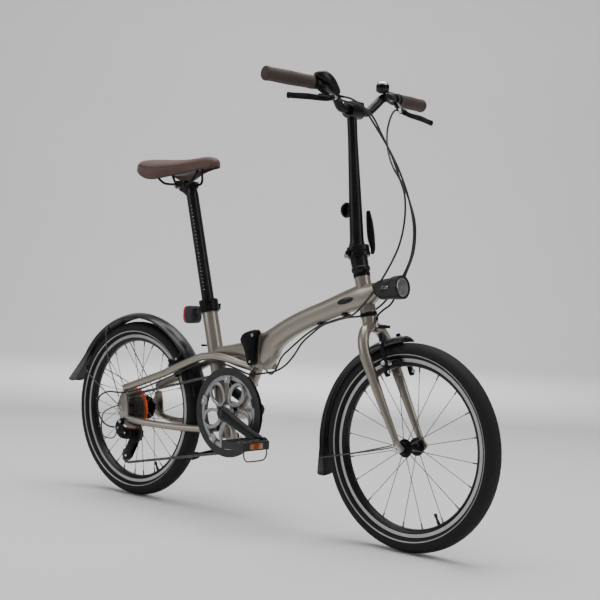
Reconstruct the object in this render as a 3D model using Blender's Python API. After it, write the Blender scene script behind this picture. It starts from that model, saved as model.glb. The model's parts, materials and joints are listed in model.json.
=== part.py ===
"""Folding bicycle with 20 inch wheels: a welded rear half and a front half that meet at a vertical mid hinge.

Run with: blender --background --python part.py
All lengths are metres. Points are given from the spot on the floor under the rear axle: X forward, Y left, Z up.
The empty "bike" then moves everything so that the origin lies under the middle of the whole object.
"""

import math

import bmesh
import bpy
from mathutils import Matrix, Vector

# Driving dimensions
WHEELBASE = 0.979
WHEEL_RADIUS = 0.250
REAR_AXLE_X = -0.4641
CRANK_AXIS = Vector((0.4115, 0.0, 0.280))
CRANK_LENGTH = 0.167
CRANK_ANGLE = math.radians(-21.4)
CHAIN_LINE = -0.0425
CHAINRING_PITCH = 0.1052
COG_PITCH = 0.0366
JOCKEY_PITCH = 0.0205
UPPER_JOCKEY = Vector((0.045, CHAIN_LINE, 0.184))
LOWER_JOCKEY = Vector((0.008, CHAIN_LINE, 0.117))
SEAT_ANGLE = math.radians(74.87)
HEAD_ANGLE = math.radians(74.5)
HINGE_X = 0.4825
HINGE_PIN_Y = 0.042
HINGE_BOTTOM = 0.398
HINGE_TOP = 0.496
CLEARANCE = 0.0003
CABLE_RADIUS = 0.0025

REAR_AXLE = Vector((0.0, 0.0, WHEEL_RADIUS))
FRONT_AXLE = Vector((WHEELBASE, 0.0, WHEEL_RADIUS))
ACROSS = Vector((0.0, 1.0, 0.0))
UP = Vector((0.0, 0.0, 1.0))
SEAT_UP = Vector((-math.cos(SEAT_ANGLE), 0.0, math.sin(SEAT_ANGLE)))
SEAT_BASE = Vector((0.369, 0.0, 0.205))
STEER_UP = Vector((-math.cos(HEAD_ANGLE), 0.0, math.sin(HEAD_ANGLE)))
STEER_FORWARD = Vector((math.sin(HEAD_ANGLE), 0.0, math.cos(HEAD_ANGLE)))
STEER_POINT = Vector((0.8215, 0.0, 0.609))
POST_UP = Vector((-0.1017, 0.0, 0.9948))
LATCH_SIDE = (STEER_FORWARD + ACROSS).normalized()
POST_HINGE_AXIS = (ACROSS - STEER_FORWARD).normalized()


def steer_at(height):
    """The point of the steering axis at a height above the floor."""
    return STEER_POINT + STEER_UP * ((height - STEER_POINT.z) / STEER_UP.z)


def seat_at(height):
    """The point of the seat tube's axis at a height above the floor."""
    return SEAT_BASE + SEAT_UP * ((height - SEAT_BASE.z) / SEAT_UP.z)


FLANGE_PLANE = steer_at(0.7120)
POST_HINGE = FLANGE_PLANE - LATCH_SIDE * 0.0275


# Solids: each is a list of points and a list of faces
def skin(rings, closed=False):
    """Join rings of equally many points with quads, and cap the two ends unless the rings close on themselves."""
    count = len(rings[0])
    points = [Vector(point) for ring in rings for point in ring]
    faces = []
    for i in range(len(rings) if closed else len(rings) - 1):
        here = i * count
        there = ((i + 1) % len(rings)) * count
        for k in range(count):
            after = (k + 1) % count
            faces.append((here + k, here + after, there + after, there + k))
    if not closed:
        faces.append(tuple(reversed(range(count))))
        faces.append(tuple(range((len(rings) - 1) * count, len(rings) * count)))
    return points, faces


def side_vectors(along):
    """Two unit vectors at right angles to a direction; the first is as upright as it can be."""
    first = UP - along * along.z
    if first.length < 0.1:
        first = Vector((1.0, 0.0, 0.0)) - along * along.x
    first.normalize()
    return first, along.cross(first)


def turned(profile, start, along, sides, closed=False):
    """Turn (radius, distance) points about an axis: a solid with flat ends, or a closed ring."""
    along = along.normalized()
    first, second = side_vectors(along)
    rings = []
    for radius, distance in profile:
        ring = []
        for k in range(sides):
            turn = 2.0 * math.pi * k / sides
            ring.append(start + along * distance + (first * math.cos(turn) + second * math.sin(turn)) * radius)
        rings.append(ring)
    return skin(rings, closed)


def rod(start, end, radius, sides=12):
    """A round bar between two points."""
    start = Vector(start)
    along = Vector(end) - start
    return turned([(radius, 0.0), (radius, along.length)], start, along, sides)


def smooth(rows, count):
    """Read a Catmull-Rom curve through rows of numbers at evenly spaced steps."""
    rows = [tuple(row) for row in rows]
    padded = [rows[0]] + rows + [rows[-1]]
    result = []
    for i in range(count):
        place = i * (len(rows) - 1) / (count - 1)
        span = min(int(place), len(rows) - 2)
        t = place - span
        row = []
        for a, b, c, d in zip(*padded[span:span + 4]):
            row.append(b + 0.5 * t * (c - a + t * (2 * a - 5 * b + 4 * c - d + t * (3 * (b - c) + d - a))))
        result.append(tuple(row))
    return result


def swept(rows, side=ACROSS, count=None, power=2.0, sides=12):
    """Carry a rounded section along rows of (x, y, z, half width, half height); width lies along side."""
    rows = smooth(rows, count) if count else rows
    centres = [Vector(row[:3]) for row in rows]
    rings = []
    for i, centre in enumerate(centres):
        along = (centres[min(i + 1, len(rows) - 1)] - centres[max(i - 1, 0)]).normalized()
        wide = (side - along * side.dot(along)).normalized()
        high = along.cross(wide)
        ring = []
        for k in range(sides):
            c = math.cos(2.0 * math.pi * (k + 0.5) / sides)
            s = math.sin(2.0 * math.pi * (k + 0.5) / sides)
            w = math.copysign(abs(c) ** (2.0 / power), c) * rows[i][3]
            h = math.copysign(abs(s) ** (2.0 / power), s) * rows[i][4]
            ring.append(centre + wide * w + high * h)
        rings.append(ring)
    return skin(rings)


def pipe(points, radius, count=None, side=ACROSS, sides=10):
    """A round tube along points."""
    return swept([(*point, radius, radius) for point in points], side, count, 2.0, sides)


def slab(outline, low, high):
    """A plate whose outline lies in XZ, between two values of Y."""
    return skin([[(x, low, z) for x, z in outline], [(x, high, z) for x, z in outline]])


def block(low, high):
    """A box between two corners."""
    outline = [(low[0], low[2]), (high[0], low[2]), (high[0], high[2]), (low[0], high[2])]
    return slab(outline, low[1], high[1])


def oval(centre_x, centre_z, half_x, half_z, turn=0.0, sides=14):
    """An ellipse outline in XZ, turned about its centre."""
    outline = []
    for k in range(sides):
        a = 2.0 * math.pi * k / sides
        x = half_x * math.cos(a)
        z = half_z * math.sin(a)
        outline.append((centre_x + x * math.cos(turn) - z * math.sin(turn),
                        centre_z + x * math.sin(turn) + z * math.cos(turn)))
    return outline


def capsule(a, radius_a, b, radius_b, steps=6):
    """The outline in XZ of two round ends joined by straight sides."""
    heading = math.atan2(b[1] - a[1], b[0] - a[0])
    outline = []
    for centre, radius, base in ((b, radius_b, heading), (a, radius_a, heading + math.pi)):
        for k in range(steps + 1):
            turn = base + math.pi * (k / steps - 0.5)
            outline.append((centre[0] + radius * math.cos(turn), centre[1] + radius * math.sin(turn)))
    return outline


def mirrored(solid):
    """The same solid on the other side of the bicycle."""
    points, faces = solid
    return [Vector((p.x, -p.y, p.z)) for p in points], [tuple(reversed(face)) for face in faces]


def outward(solid):
    """Turn a solid's faces outwards."""
    shape = bmesh.new()
    corners = [shape.verts.new(point) for point in solid[0]]
    for face in solid[1]:
        shape.faces.new([corners[k] for k in face])
    bmesh.ops.recalc_face_normals(shape, faces=shape.faces)
    mesh = bpy.data.meshes.new("solid")
    shape.to_mesh(mesh)
    shape.free()
    return mesh


def combine(base, others, operation):
    """Join or cut solids with exact Booleans, and return one solid."""
    pieces = []
    for solid in [base, *others]:
        piece = bpy.data.objects.new("piece", outward(solid))
        bpy.context.scene.collection.objects.link(piece)
        pieces.append(piece)
    for tool in pieces[1:]:
        modifier = pieces[0].modifiers.new("combine", "BOOLEAN")
        modifier.operation = operation
        modifier.solver = "EXACT"
        modifier.object = tool
    shape = pieces[0].evaluated_get(bpy.context.evaluated_depsgraph_get()).to_mesh()
    points = [vertex.co.copy() for vertex in shape.vertices]
    faces = [tuple(polygon.vertices) for polygon in shape.polygons]
    for piece in pieces:
        bpy.data.objects.remove(piece)
    return points, faces


def fuse(*solids):
    """One solid out of overlapping solids."""
    return combine(solids[0], solids[1:], "UNION")


def cut(solid, *tools):
    """A solid with the tools taken away."""
    return combine(solid, tools, "DIFFERENCE")


# Scene, materials and nodes
def start_scene():
    """Empty the scene and return the empty that everything hangs from."""
    for leftover in list(bpy.data.objects):
        bpy.data.objects.remove(leftover)
    bike = bpy.data.objects.new("bike", None)
    bike.location = (REAR_AXLE_X, 0.0, 0.0)
    bpy.context.scene.collection.objects.link(bike)
    return bike


FINISHES = {
    "champagne": ((0.36, 0.31, 0.24), 0.30, 0.75),
    "black": ((0.018, 0.018, 0.020), 0.45, 0.10),
    "rubber": ((0.020, 0.020, 0.022), 0.80, 0.00),
    "steel": ((0.55, 0.55, 0.57), 0.30, 1.00),
    "brown": ((0.16, 0.085, 0.060), 0.55, 0.00),
    "orange": ((0.90, 0.10, 0.02), 0.50, 0.00),
}


def node(bike, name, solid, finish, origin=(0.0, 0.0, 0.0)):
    """Put a solid in the scene as one named object with its own material and its origin on its joint's axis."""
    mesh = outward(solid)
    mesh.name = name
    origin = Vector(origin)
    mesh.transform(Matrix.Translation(-origin))
    mesh.shade_smooth()
    mesh.set_sharp_from_angle(angle=math.radians(35.0))
    colour, roughness, metallic = FINISHES[finish]
    material = bpy.data.materials.new(name)
    material.use_nodes = True
    shader = material.node_tree.nodes["Principled BSDF"]
    shader.inputs["Base Color"].default_value = (*colour, 1.0)
    shader.inputs["Roughness"].default_value = roughness
    shader.inputs["Metallic"].default_value = metallic
    mesh.materials.append(material)
    item = bpy.data.objects.new(name, mesh)
    item.location = origin
    item.parent = bike
    bpy.context.scene.collection.objects.link(item)
    return item


# Wheels
TYRE_PROFILE = [(0.2135, 0.0125), (0.2210, 0.0190), (0.2310, 0.0235), (0.2410, 0.0195), (0.2475, 0.0110),
                (0.2500, 0.0000), (0.2475, -0.0110), (0.2410, -0.0195), (0.2310, -0.0235), (0.2210, -0.0190),
                (0.2135, -0.0125)]
RIM_PROFILE = [(0.2130, 0.0125), (0.2010, 0.0125), (0.1935, 0.0080), (0.1935, -0.0080), (0.2010, -0.0125),
               (0.2130, -0.0125)]
SPOKE_RADIUS = 0.0010
FRONT_HUB_PROFILE = [(0.0058, -0.034), (0.0145, -0.034), (0.0145, -0.027), (0.0190, -0.0255), (0.0190, -0.0215),
                     (0.0110, -0.018), (0.0110, 0.018), (0.0190, 0.0215), (0.0190, 0.0255), (0.0145, 0.027),
                     (0.0145, 0.034), (0.0058, 0.034)]
REAR_HUB_PROFILE = [(0.0058, -0.0195), (0.0300, -0.0195), (0.0300, -0.0165), (0.0160, -0.0125), (0.0160, 0.0260),
                    (0.0300, 0.0300), (0.0300, 0.0330), (0.0140, 0.0370), (0.0140, 0.0520), (0.0058, 0.0520)]


def spokes(axle, count, flanges, flange_radius, lead):
    """Straight spokes that end on a thin ring inside the rim; lead is how far each one runs round the wheel."""
    ring = turned([(0.1905, 0.004), (0.1930, 0.004), (0.1930, -0.004), (0.1905, -0.004)], axle, ACROSS, 40, True)
    bars = []
    for k in range(count):
        turn = 2.0 * math.pi * (k + 0.25) / count
        side = flanges[k % 2]
        twist = lead if (k // 2) % 2 else -lead
        side += math.copysign(0.0026, twist) if lead else 0.0
        inner = axle + Vector((math.sin(turn + twist), 0.0, math.cos(turn + twist))) * flange_radius
        outer = axle + Vector((math.sin(turn), 0.0, math.cos(turn))) * 0.1918
        bars.append(rod(inner + ACROSS * side, outer + ACROSS * math.copysign(0.002, side), SPOKE_RADIUS, 4))
    return fuse(ring, *bars)


def wheels(bike):
    """Both wheels; the rear one also carries the spoke guard, and the cassette turns beside it."""
    for name, axle in (("front", FRONT_AXLE), ("rear", REAR_AXLE)):
        node(bike, f"{name}_tyre", turned(TYRE_PROFILE, axle, ACROSS, 40, True), "rubber", axle)
        node(bike, f"{name}_rim", turned(RIM_PROFILE, axle, ACROSS, 40, True), "black", axle)
    node(bike, "front_hub", turned(FRONT_HUB_PROFILE, FRONT_AXLE, ACROSS, 14, True), "black", FRONT_AXLE)
    node(bike, "rear_hub", turned(REAR_HUB_PROFILE, REAR_AXLE, ACROSS, 14, True), "black", REAR_AXLE)
    node(bike, "front_spokes", spokes(FRONT_AXLE, 20, (0.0235, -0.0235), 0.0205, 0.0), "black", FRONT_AXLE)
    node(bike, "rear_spokes", spokes(REAR_AXLE, 28, (0.0315, -0.0160), 0.0315, math.radians(60.0)), "black",
         REAR_AXLE)
    guard = [(0.0335, -0.0226), (0.0620, -0.0226), (0.0620, -0.0210), (0.0335, -0.0210)]
    node(bike, "spoke_guard", turned(guard, REAR_AXLE, ACROSS, 28, True), "orange", REAR_AXLE)
    profile = [(0.0062, -0.0246)]
    cogs = (0.0575, 0.0520, 0.0460, 0.0320, 0.0295, 0.0262, 0.0225)
    for i, radius in enumerate(cogs):
        face = -0.0266 - 0.005 * i
        core = min(radius, cogs[min(i + 1, 6)]) - 0.006
        profile += [(core + 0.001, face), (radius, face), (radius, face - 0.0018), (core, face - 0.0018)]
    profile += [(0.0155, -0.0605), (0.0062, -0.0605)]
    node(bike, "cassette", turned(profile, REAR_AXLE, ACROSS, 18, True), "steel", REAR_AXLE)


def axle_profile(half, inner_nut, dropout, thickness, reach):
    """Half of an axle as (radius, distance): lock nut, bare stretch in the dropout, outer nut and end."""
    return [(0.005, half), (0.008, half), (0.008, inner_nut), (0.005, inner_nut),
            (0.005, dropout + thickness + CLEARANCE), (0.0092, dropout + thickness + CLEARANCE),
            (0.0092, reach - 0.003), (0.005, reach - 0.003), (0.005, reach)]


def axles(bike):
    """The two fixed axles with their nuts."""
    front = axle_profile(0.0345, 0.0457, 0.0460, 0.0050, 0.0640)
    profile = [(r, -d) for r, d in reversed(front)] + front
    node(bike, "front_axle", turned(profile, FRONT_AXLE, ACROSS, 8), "steel", FRONT_AXLE)
    left = axle_profile(0.0525, 0.0637, 0.0640, 0.0050, 0.0820)
    right = [(r, -d) for r, d in reversed(axle_profile(0.0610, 0.0637, 0.0640, 0.0050, 0.0820))]
    node(bike, "rear_axle", turned(right + left, REAR_AXLE, ACROSS, 8), "steel", REAR_AXLE)


# Rear half
def bore(base, along, radius, low, high, sides=24):
    """A round tool for a hole."""
    return turned([(radius, low), (radius, high)], base, along, sides)


def rear_frame(bike):
    """Seat tube, bottom bracket, down tube, beam stub and the rear half of the mid hinge, welded into one."""
    seat_length = (0.566 - SEAT_BASE.z) / SEAT_UP.z
    seat_tube = turned([(0.0215, 0.0), (0.0215, seat_length)], SEAT_BASE, SEAT_UP, 20)
    shell = turned([(0.0212, -0.034), (0.0212, 0.034)], CRANK_AXIS, ACROSS, 20)
    stand_lug = slab([(0.3440, 0.1960), (0.3800, 0.1960), (0.3800, 0.2190), (0.3440, 0.2140)], 0.0120, 0.0230)
    gusset = slab([(0.355, 0.305), (0.412, 0.298), (0.412, 0.262), (0.366, 0.252)], -0.010, 0.010)
    down_tube = pipe([(0.4660, 0.0, 0.4080), (0.4570, 0.0, 0.3800), (0.4115, 0.0, 0.2850)], 0.0155, None,
                     ACROSS, 14)
    stub = swept([(0.300, 0, 0.4310, 0.018, 0.0150), (0.360, 0, 0.4395, 0.019, 0.0160),
                  (0.420, 0, 0.4460, 0.021, 0.0230), (0.474, 0, 0.4470, 0.026, 0.0440)], ACROSS, 7, 2.4, 14)
    rear_face = HINGE_X - CLEARANCE
    plate = block((rear_face - 0.0115, -0.030, HINGE_BOTTOM), (rear_face, 0.0285, HINGE_TOP))
    pieces = [seat_tube, shell, gusset, stand_lug, down_tube, stub, plate]
    pin_foot = Vector((HINGE_X, HINGE_PIN_Y, HINGE_BOTTOM))
    pieces.append(turned([(0.0050, 0.001), (0.0050, 0.097)], pin_foot, UP, 14))
    for low, high in ((0.0, 0.0230), (0.0750, 0.098)):
        pieces.append(turned([(0.0100, low), (0.0100, high)], pin_foot, UP, 14))
        pieces.append(block((rear_face - 0.0100, 0.0200, HINGE_BOTTOM + low + 0.0005),
                            (rear_face, HINGE_PIN_Y, HINGE_BOTTOM + high - 0.0005)))
    solid = fuse(*pieces)
    solid = cut(solid, bore(SEAT_BASE, SEAT_UP, 0.0174, -0.05, 0.5), bore(CRANK_AXIS, ACROSS, 0.0092, -0.05, 0.05, 16))
    node(bike, "rear_frame", solid, "champagne")


def stays(bike):
    """Bent upper stays and chainstays with dropouts, on both sides; they stop just clear of the seat tube."""
    around_seat = bore(SEAT_BASE, SEAT_UP, 0.0215 + CLEARANCE, -0.05, 0.5, 20)
    upper = pipe([(0.4690, -0.0275, 0.4045), (0.4300, -0.0300, 0.4110), (0.3850, -0.0335, 0.4205),
                  (0.3350, -0.0345, 0.4240), (0.3000, -0.0365, 0.4205), (0.2730, -0.0395, 0.4130),
                  (0.2100, -0.0470, 0.3870), (0.1530, -0.0530, 0.3620), (0.0100, -0.0625, 0.3120)],
                 0.0105, 14)
    plate = slab([(0.000, 0.299), (0.020, 0.298), (0.027, 0.270), (0.031, 0.232), (0.016, 0.218),
                  (-0.012, 0.234), (-0.017, 0.262)], -0.0690, -0.0640)
    lower = swept([(0.0200, -0.0655, 0.2285, 0.0055, 0.0070), (0.0700, -0.0600, 0.2215, 0.0090, 0.0095),
                   (0.1500, -0.0500, 0.2190, 0.0095, 0.0098), (0.2200, -0.0370, 0.2185, 0.0098, 0.0098),
                   (0.3000, -0.0235, 0.2220, 0.0098, 0.0098), (0.3560, -0.0140, 0.2310, 0.0098, 0.0098)],
                  ACROSS, 10, 2.0, 10)
    hanger = slab([(0.000, 0.232), (0.020, 0.232), (0.017, 0.206), (0.004, 0.206)], -0.0688, -0.0642)
    axle_hole = bore(REAR_AXLE, ACROSS, 0.0054, -0.1, 0.1, 12)
    right = cut(fuse(plate, lower, hanger), around_seat, axle_hole)
    left = mirrored(cut(fuse(plate, lower), around_seat, axle_hole))
    node(bike, "right_upper_stay", upper, "champagne")
    node(bike, "left_upper_stay", mirrored(upper), "champagne")
    node(bike, "right_chainstay", right, "champagne")
    node(bike, "left_chainstay", left, "champagne")


def seat_collar(bike):
    """Clamp ring on top of the seat tube, its quick-release lever on the left, and the tail light behind it."""
    foot = seat_at(0.540)
    ring = turned([(0.0218, 0.0), (0.0262, 0.0), (0.0262, 0.034), (0.0178, 0.034), (0.0178, 0.0272), (0.0218, 0.0272)],
                  foot, SEAT_UP, 20, True)
    lug = block((0.268, 0.0220, 0.547), (0.284, 0.0272, 0.565))
    node(bike, "seat_collar", fuse(ring, lug), "black")
    pivot = Vector((0.276, 0.0345, 0.556))
    lever = swept([(0.2795, 0.0345, 0.5560, 0.004, 0.007), (0.262, 0.0352, 0.5560, 0.0042, 0.007),
                   (0.232, 0.0370, 0.5555, 0.0030, 0.0060), (0.214, 0.0330, 0.5550, 0.0020, 0.0050)],
                  ACROSS, 7, 2.6, 8)
    cam = turned([(0.0062, -0.0085), (0.0062, 0.0085)], pivot, UP, 12)
    node(bike, "seat_lever", fuse(lever, cam), "black", pivot)
    lamp = swept([(0.1930, 0, 0.5300, 0.019, 0.0225), (0.1980, 0, 0.5300, 0.021, 0.0245),
                  (0.2260, 0, 0.5310, 0.020, 0.0235), (0.2320, 0, 0.5310, 0.013, 0.0150)], ACROSS, None, 3.5, 12)
    bracket = swept([(0.2260, 0, 0.5350, 0.009, 0.0120), (0.2475, 0, 0.5440, 0.009, 0.0090)], ACROSS, None, 3.0, 8)
    node(bike, "tail_light", fuse(lamp, bracket), "black")


def mudguard(axle, start, end, crowns, flare, tail_half):
    """A thin arched strip that follows a tyre from one angle to another; crowns are its radii at the two ends."""
    rings = []
    steps = 24
    for i in range(steps + 1):
        t = i / steps
        turn = math.radians(start + (end - start) * t)
        tail = max(0.0, (t - 0.86) / 0.14)
        out = Vector((math.cos(turn), 0.0, math.sin(turn)))
        half = 0.0270 + (tail_half - 0.0270) * tail
        ring = []
        for sign, lift in ((1, 0.0), (-1, -0.0018)):
            for k in range(5):
                across = sign * (1.0 - k / 2.0)
                crown = crowns[0] + (crowns[1] - crowns[0]) * t + lift + flare * tail * tail
                crown -= 0.0110 * across * across * (1.0 - 0.5 * tail)
                ring.append(axle + out * crown + ACROSS * (half * across))
        rings.append(ring)
    return skin(rings)


def mudguards(bike):
    """Both mudguards."""
    node(bike, "rear_mudguard", mudguard(REAR_AXLE, 12.0, 169.5, (0.2740, 0.2760), 0.030, 0.036), "black")
    node(bike, "front_mudguard", mudguard(FRONT_AXLE, 95.0, 201.0, (0.2660, 0.2800), 0.009, 0.033), "black")


def kickstand(bike):
    """The folded stand below the bottom bracket."""
    pivot = Vector((0.3550, 0.0340, 0.2050))
    leg = pipe([(0.3550, 0.0360, 0.2050), (0.3350, 0.0390, 0.1830), (0.3000, 0.0410, 0.1620),
                (0.1840, 0.0500, 0.1290)], 0.0065, None, UP, 10)
    head = rod(pivot + ACROSS * -0.0105, pivot + ACROSS * 0.010, 0.0105, 12)
    foot = swept([(0.198, 0.0490, 0.1330, 0.008, 0.010), (0.174, 0.0506, 0.1262, 0.009, 0.011)], ACROSS, None, 3.0, 8)
    node(bike, "kickstand", fuse(leg, head, foot), "black", pivot)


# Drivetrain
def chainring(bike):
    """Toothed ring between its two guards, five-armed spider and the spindle through the bottom bracket."""
    ring = turned([(0.0880, -0.0525), (0.1190, -0.0525), (0.1190, -0.0498), (0.0985, -0.0498), (0.0985, -0.0440),
                   (0.1004, -0.0440), (0.1004, -0.0410), (0.0985, -0.0410), (0.0985, -0.0375), (0.1130, -0.0375),
                   (0.1130, -0.0350), (0.0880, -0.0350)], CRANK_AXIS, ACROSS, 32, True)
    spider = turned([(0.0960, -0.0570), (0.0960, -0.0512)], CRANK_AXIS, ACROSS, 32)
    holes = []
    for k in range(5):
        turn = 2.0 * math.pi * (k + 0.5) / 5.0 + math.radians(92.0)
        x = CRANK_AXIS.x + 0.0580 * math.cos(turn)
        z = CRANK_AXIS.z + 0.0580 * math.sin(turn)
        holes.append(slab(oval(x, z, 0.0300, 0.0225, turn), -0.0600, -0.0480))
        slot = turn + math.pi / 5.0
        x = CRANK_AXIS.x + 0.0560 * math.cos(slot)
        z = CRANK_AXIS.z + 0.0560 * math.sin(slot)
        holes.append(slab(oval(x, z, 0.0170, 0.0040, slot, 8), -0.0600, -0.0480))
    spider = cut(spider, *holes)
    spindle = turned([(0.0085, -0.0640), (0.0085, 0.0640)], CRANK_AXIS, ACROSS, 14)
    boss = turned([(0.0160, -0.0630), (0.0200, -0.0500)], CRANK_AXIS, ACROSS, 16)
    node(bike, "chainring", fuse(ring, spider, spindle, boss), "steel", CRANK_AXIS)


def crank(side, angle):
    """A crank arm; side is -1 on the right and +1 on the left."""
    out = Vector((math.cos(angle), 0.0, math.sin(angle)))
    rows = []
    for t, y, wide, high in ((-0.10, 0.0715, 0.0066, 0.0120), (0.0, 0.0715, 0.0072, 0.0185), (0.12, 0.0720, 0.0072, 0.0180),
                             (0.5, 0.0750, 0.0066, 0.0145), (0.92, 0.0775, 0.0065, 0.0140), (1.07, 0.0775, 0.0060, 0.0105)):
        place = CRANK_AXIS + out * (CRANK_LENGTH * t)
        rows.append((place.x, side * y, place.z, wide, high))
    return swept(rows, ACROSS, None, 3.2, 12)


def pedal(side, angle):
    """A platform pedal with a wire bail below its front edge, and the centre of its axis."""
    centre = CRANK_AXIS + Vector((math.cos(angle), 0.0, math.sin(angle))) * CRANK_LENGTH
    x, z = centre.x, centre.z
    plate = block((x - 0.038, -0.1880, z - 0.0115), (x + 0.038, -0.0920, z + 0.0115))
    windows = [block((x + a, y, z - 0.02), (x + a + 0.0185, y + 0.036, z + 0.02))
               for a in (-0.0310, 0.0125) for y in (-0.1800, -0.1360)]
    axle = rod((x, -0.0846, z), (x, -0.1600, z), 0.0090, 12)
    front = x + 0.0350
    bail = pipe([(front, -0.1820, z - 0.005), (front, -0.1800, z - 0.028), (front, -0.1700, z - 0.0375),
                 (front, -0.1080, z - 0.0375), (front, -0.0985, z - 0.028), (front, -0.0980, z - 0.005)],
                0.0020, 10, Vector((1.0, 0.0, 0.0)), 6)
    solid = fuse(cut(plate, *windows), axle, bail)
    return (solid if side < 0 else mirrored(solid)), centre + ACROSS * (side * 0.14)


def cranks(bike):
    """Cranks and pedals, half a turn apart."""
    for name, side, angle in (("right", -1.0, CRANK_ANGLE), ("left", 1.0, CRANK_ANGLE + math.pi)):
        node(bike, f"{name}_crank", crank(side, angle), "black", CRANK_AXIS)
        solid, centre = pedal(side, angle)
        node(bike, f"{name}_pedal", solid, "black", centre)


def chain_path():
    """Walk the chain round ring, lower jockey, upper jockey and cog; a negative radius turns clockwise."""
    wheels_on_path = [(CRANK_AXIS, -CHAINRING_PITCH), (LOWER_JOCKEY, -JOCKEY_PITCH), (UPPER_JOCKEY, JOCKEY_PITCH),
                      (REAR_AXLE, -COG_PITCH)]
    headings = []
    for i, (centre, radius) in enumerate(wheels_on_path):
        nearby, other = wheels_on_path[(i + 1) % 4]
        gap = Vector((nearby.x - centre.x, nearby.z - centre.z))
        headings.append(math.atan2(gap.y, gap.x) - math.asin((other - radius) / gap.length))
    path = []
    for i, (centre, radius) in enumerate(wheels_on_path):
        arrive = headings[i - 1]
        leave = headings[i]
        turn = (leave - arrive) % (2.0 * math.pi)
        turn = turn - 2.0 * math.pi if radius < 0.0 else turn
        steps = max(4, round(abs(turn) / math.radians(10.0)))
        for k in range(steps + 1):
            heading = arrive + turn * k / steps
            normal = Vector((-math.sin(heading), 0.0, math.cos(heading)))
            place = Vector((centre.x, CHAIN_LINE, centre.z)) - normal * radius
            path.append((place, normal))
    return path


def chain(bike):
    """The chain as one closed band."""
    rings = [[place + ACROSS * w + normal * h for w, h in ((-0.0030, -0.0036), (0.0030, -0.0036), (0.0030, 0.0036),
                                                         (-0.0030, 0.0036))] for place, normal in chain_path()]
    node(bike, "chain", skin(rings, True), "steel")


def derailleur(bike):
    """Body on the hanger, cage with its two pins, and the jockey wheels on them."""
    arm = swept([(0.0060, -0.0755, 0.2170, 0.0050, 0.0090), (0.0060, -0.0770, 0.2010, 0.0070, 0.0160),
                 (0.0200, -0.0740, 0.1850, 0.0090, 0.0180), (0.0440, -0.0610, 0.1840, 0.0080, 0.0160)],
                ACROSS, 7, 2.6, 10)
    mount = rod((0.0105, -0.0692, 0.2165), (0.0105, -0.0800, 0.2165), 0.0080, 12)
    node(bike, "derailleur_body", fuse(arm, mount), "black")
    up = (UPPER_JOCKEY.x, UPPER_JOCKEY.z)
    low = (LOWER_JOCKEY.x, LOWER_JOCKEY.z)
    outer = slab(capsule(up, 0.0140, low, 0.0120), -0.0510, -0.0492)
    inner = slab(capsule(up, 0.0130, low, 0.0120), -0.0358, -0.0340)
    pins = [rod((x, -0.0500, z), (x, -0.0350, z), 0.0030, 8) for x, z in (up, low)]
    node(bike, "derailleur_cage", fuse(outer, inner, *pins), "black", UPPER_JOCKEY)
    profile = [(0.0034, -0.0045), (0.0160, -0.0045), (0.0160, 0.0045), (0.0034, 0.0045)]
    node(bike, "upper_jockey_wheel", turned(profile, UPPER_JOCKEY, ACROSS, 18, True), "black", UPPER_JOCKEY)
    node(bike, "lower_jockey_wheel", turned(profile, LOWER_JOCKEY, ACROSS, 18, True), "black", LOWER_JOCKEY)


# Front half
def front_frame(bike):
    """Curved main beam with the head tube and the front half of the mid hinge."""
    beam = swept([(0.484, 0, 0.4460, 0.0290, 0.0460), (0.503, 0, 0.4590, 0.0270, 0.0420),
                  (0.528, 0, 0.4810, 0.0245, 0.0315), (0.577, 0, 0.5120, 0.0225, 0.0275),
                  (0.6365, 0, 0.5400, 0.0213, 0.0260), (0.710, 0, 0.5680, 0.0208, 0.0258),
                  (0.770, 0, 0.5900, 0.0212, 0.0280), (0.821, 0, 0.6055, 0.0222, 0.0310),
                  (0.858, 0, 0.6220, 0.0170, 0.0190)], ACROSS, 15, 2.5, 16)
    front_face = HINGE_X + CLEARANCE
    plate = block((front_face, -0.030, HINGE_BOTTOM), (front_face + 0.0130, 0.0285, HINGE_TOP))
    head = steer_at(0.5560)
    head_tube = turned([(0.0200, 0.0), (0.0200, (0.6600 - 0.5560) / STEER_UP.z)], head, STEER_UP, 20)
    pin_foot = Vector((HINGE_X, HINGE_PIN_Y, HINGE_BOTTOM))
    knuckle = turned([(0.0100, 0.0235), (0.0100, 0.0745)], pin_foot, UP, 14)
    arm = block((front_face, 0.0200, HINGE_BOTTOM + 0.0240), (front_face + 0.0100, HINGE_PIN_Y, HINGE_BOTTOM + 0.0740))
    behind = block((0.40, -0.06, 0.35), (front_face, 0.0310, 0.55))
    beam = cut(beam, behind)
    solid = fuse(beam, plate, head_tube, arm, knuckle)
    solid = cut(solid, bore(head, STEER_UP, 0.0148, -0.05, 0.20, 20), bore(pin_foot, UP, 0.0054, -0.05, 0.15, 14))
    node(bike, "front_frame", solid, "champagne", pin_foot)
    latch = slab([(0.4415, 0.474), (0.4520, 0.492), (0.4740, 0.500), (0.5000, 0.506), (0.5070, 0.498),
                  (0.4980, 0.486), (0.4930, 0.440), (0.4920, 0.412), (0.4730, 0.409), (0.4620, 0.445),
                  (0.4540, 0.460)], -0.0495, -0.0325)
    node(bike, "frame_latch", latch, "black", (0.4990, -0.0400, 0.455))
    lamp = swept([(0.8650, 0, 0.6200, 0.0170, 0.0200), (0.8720, 0, 0.6220, 0.0210, 0.0245),
                  (0.9130, 0, 0.6280, 0.0250, 0.0265), (0.9190, 0, 0.6290, 0.0285, 0.0290),
                  (0.9350, 0, 0.6310, 0.0285, 0.0290)], ACROSS, None, 2.4, 16)
    node(bike, "headlight", lamp, "black")


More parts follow.
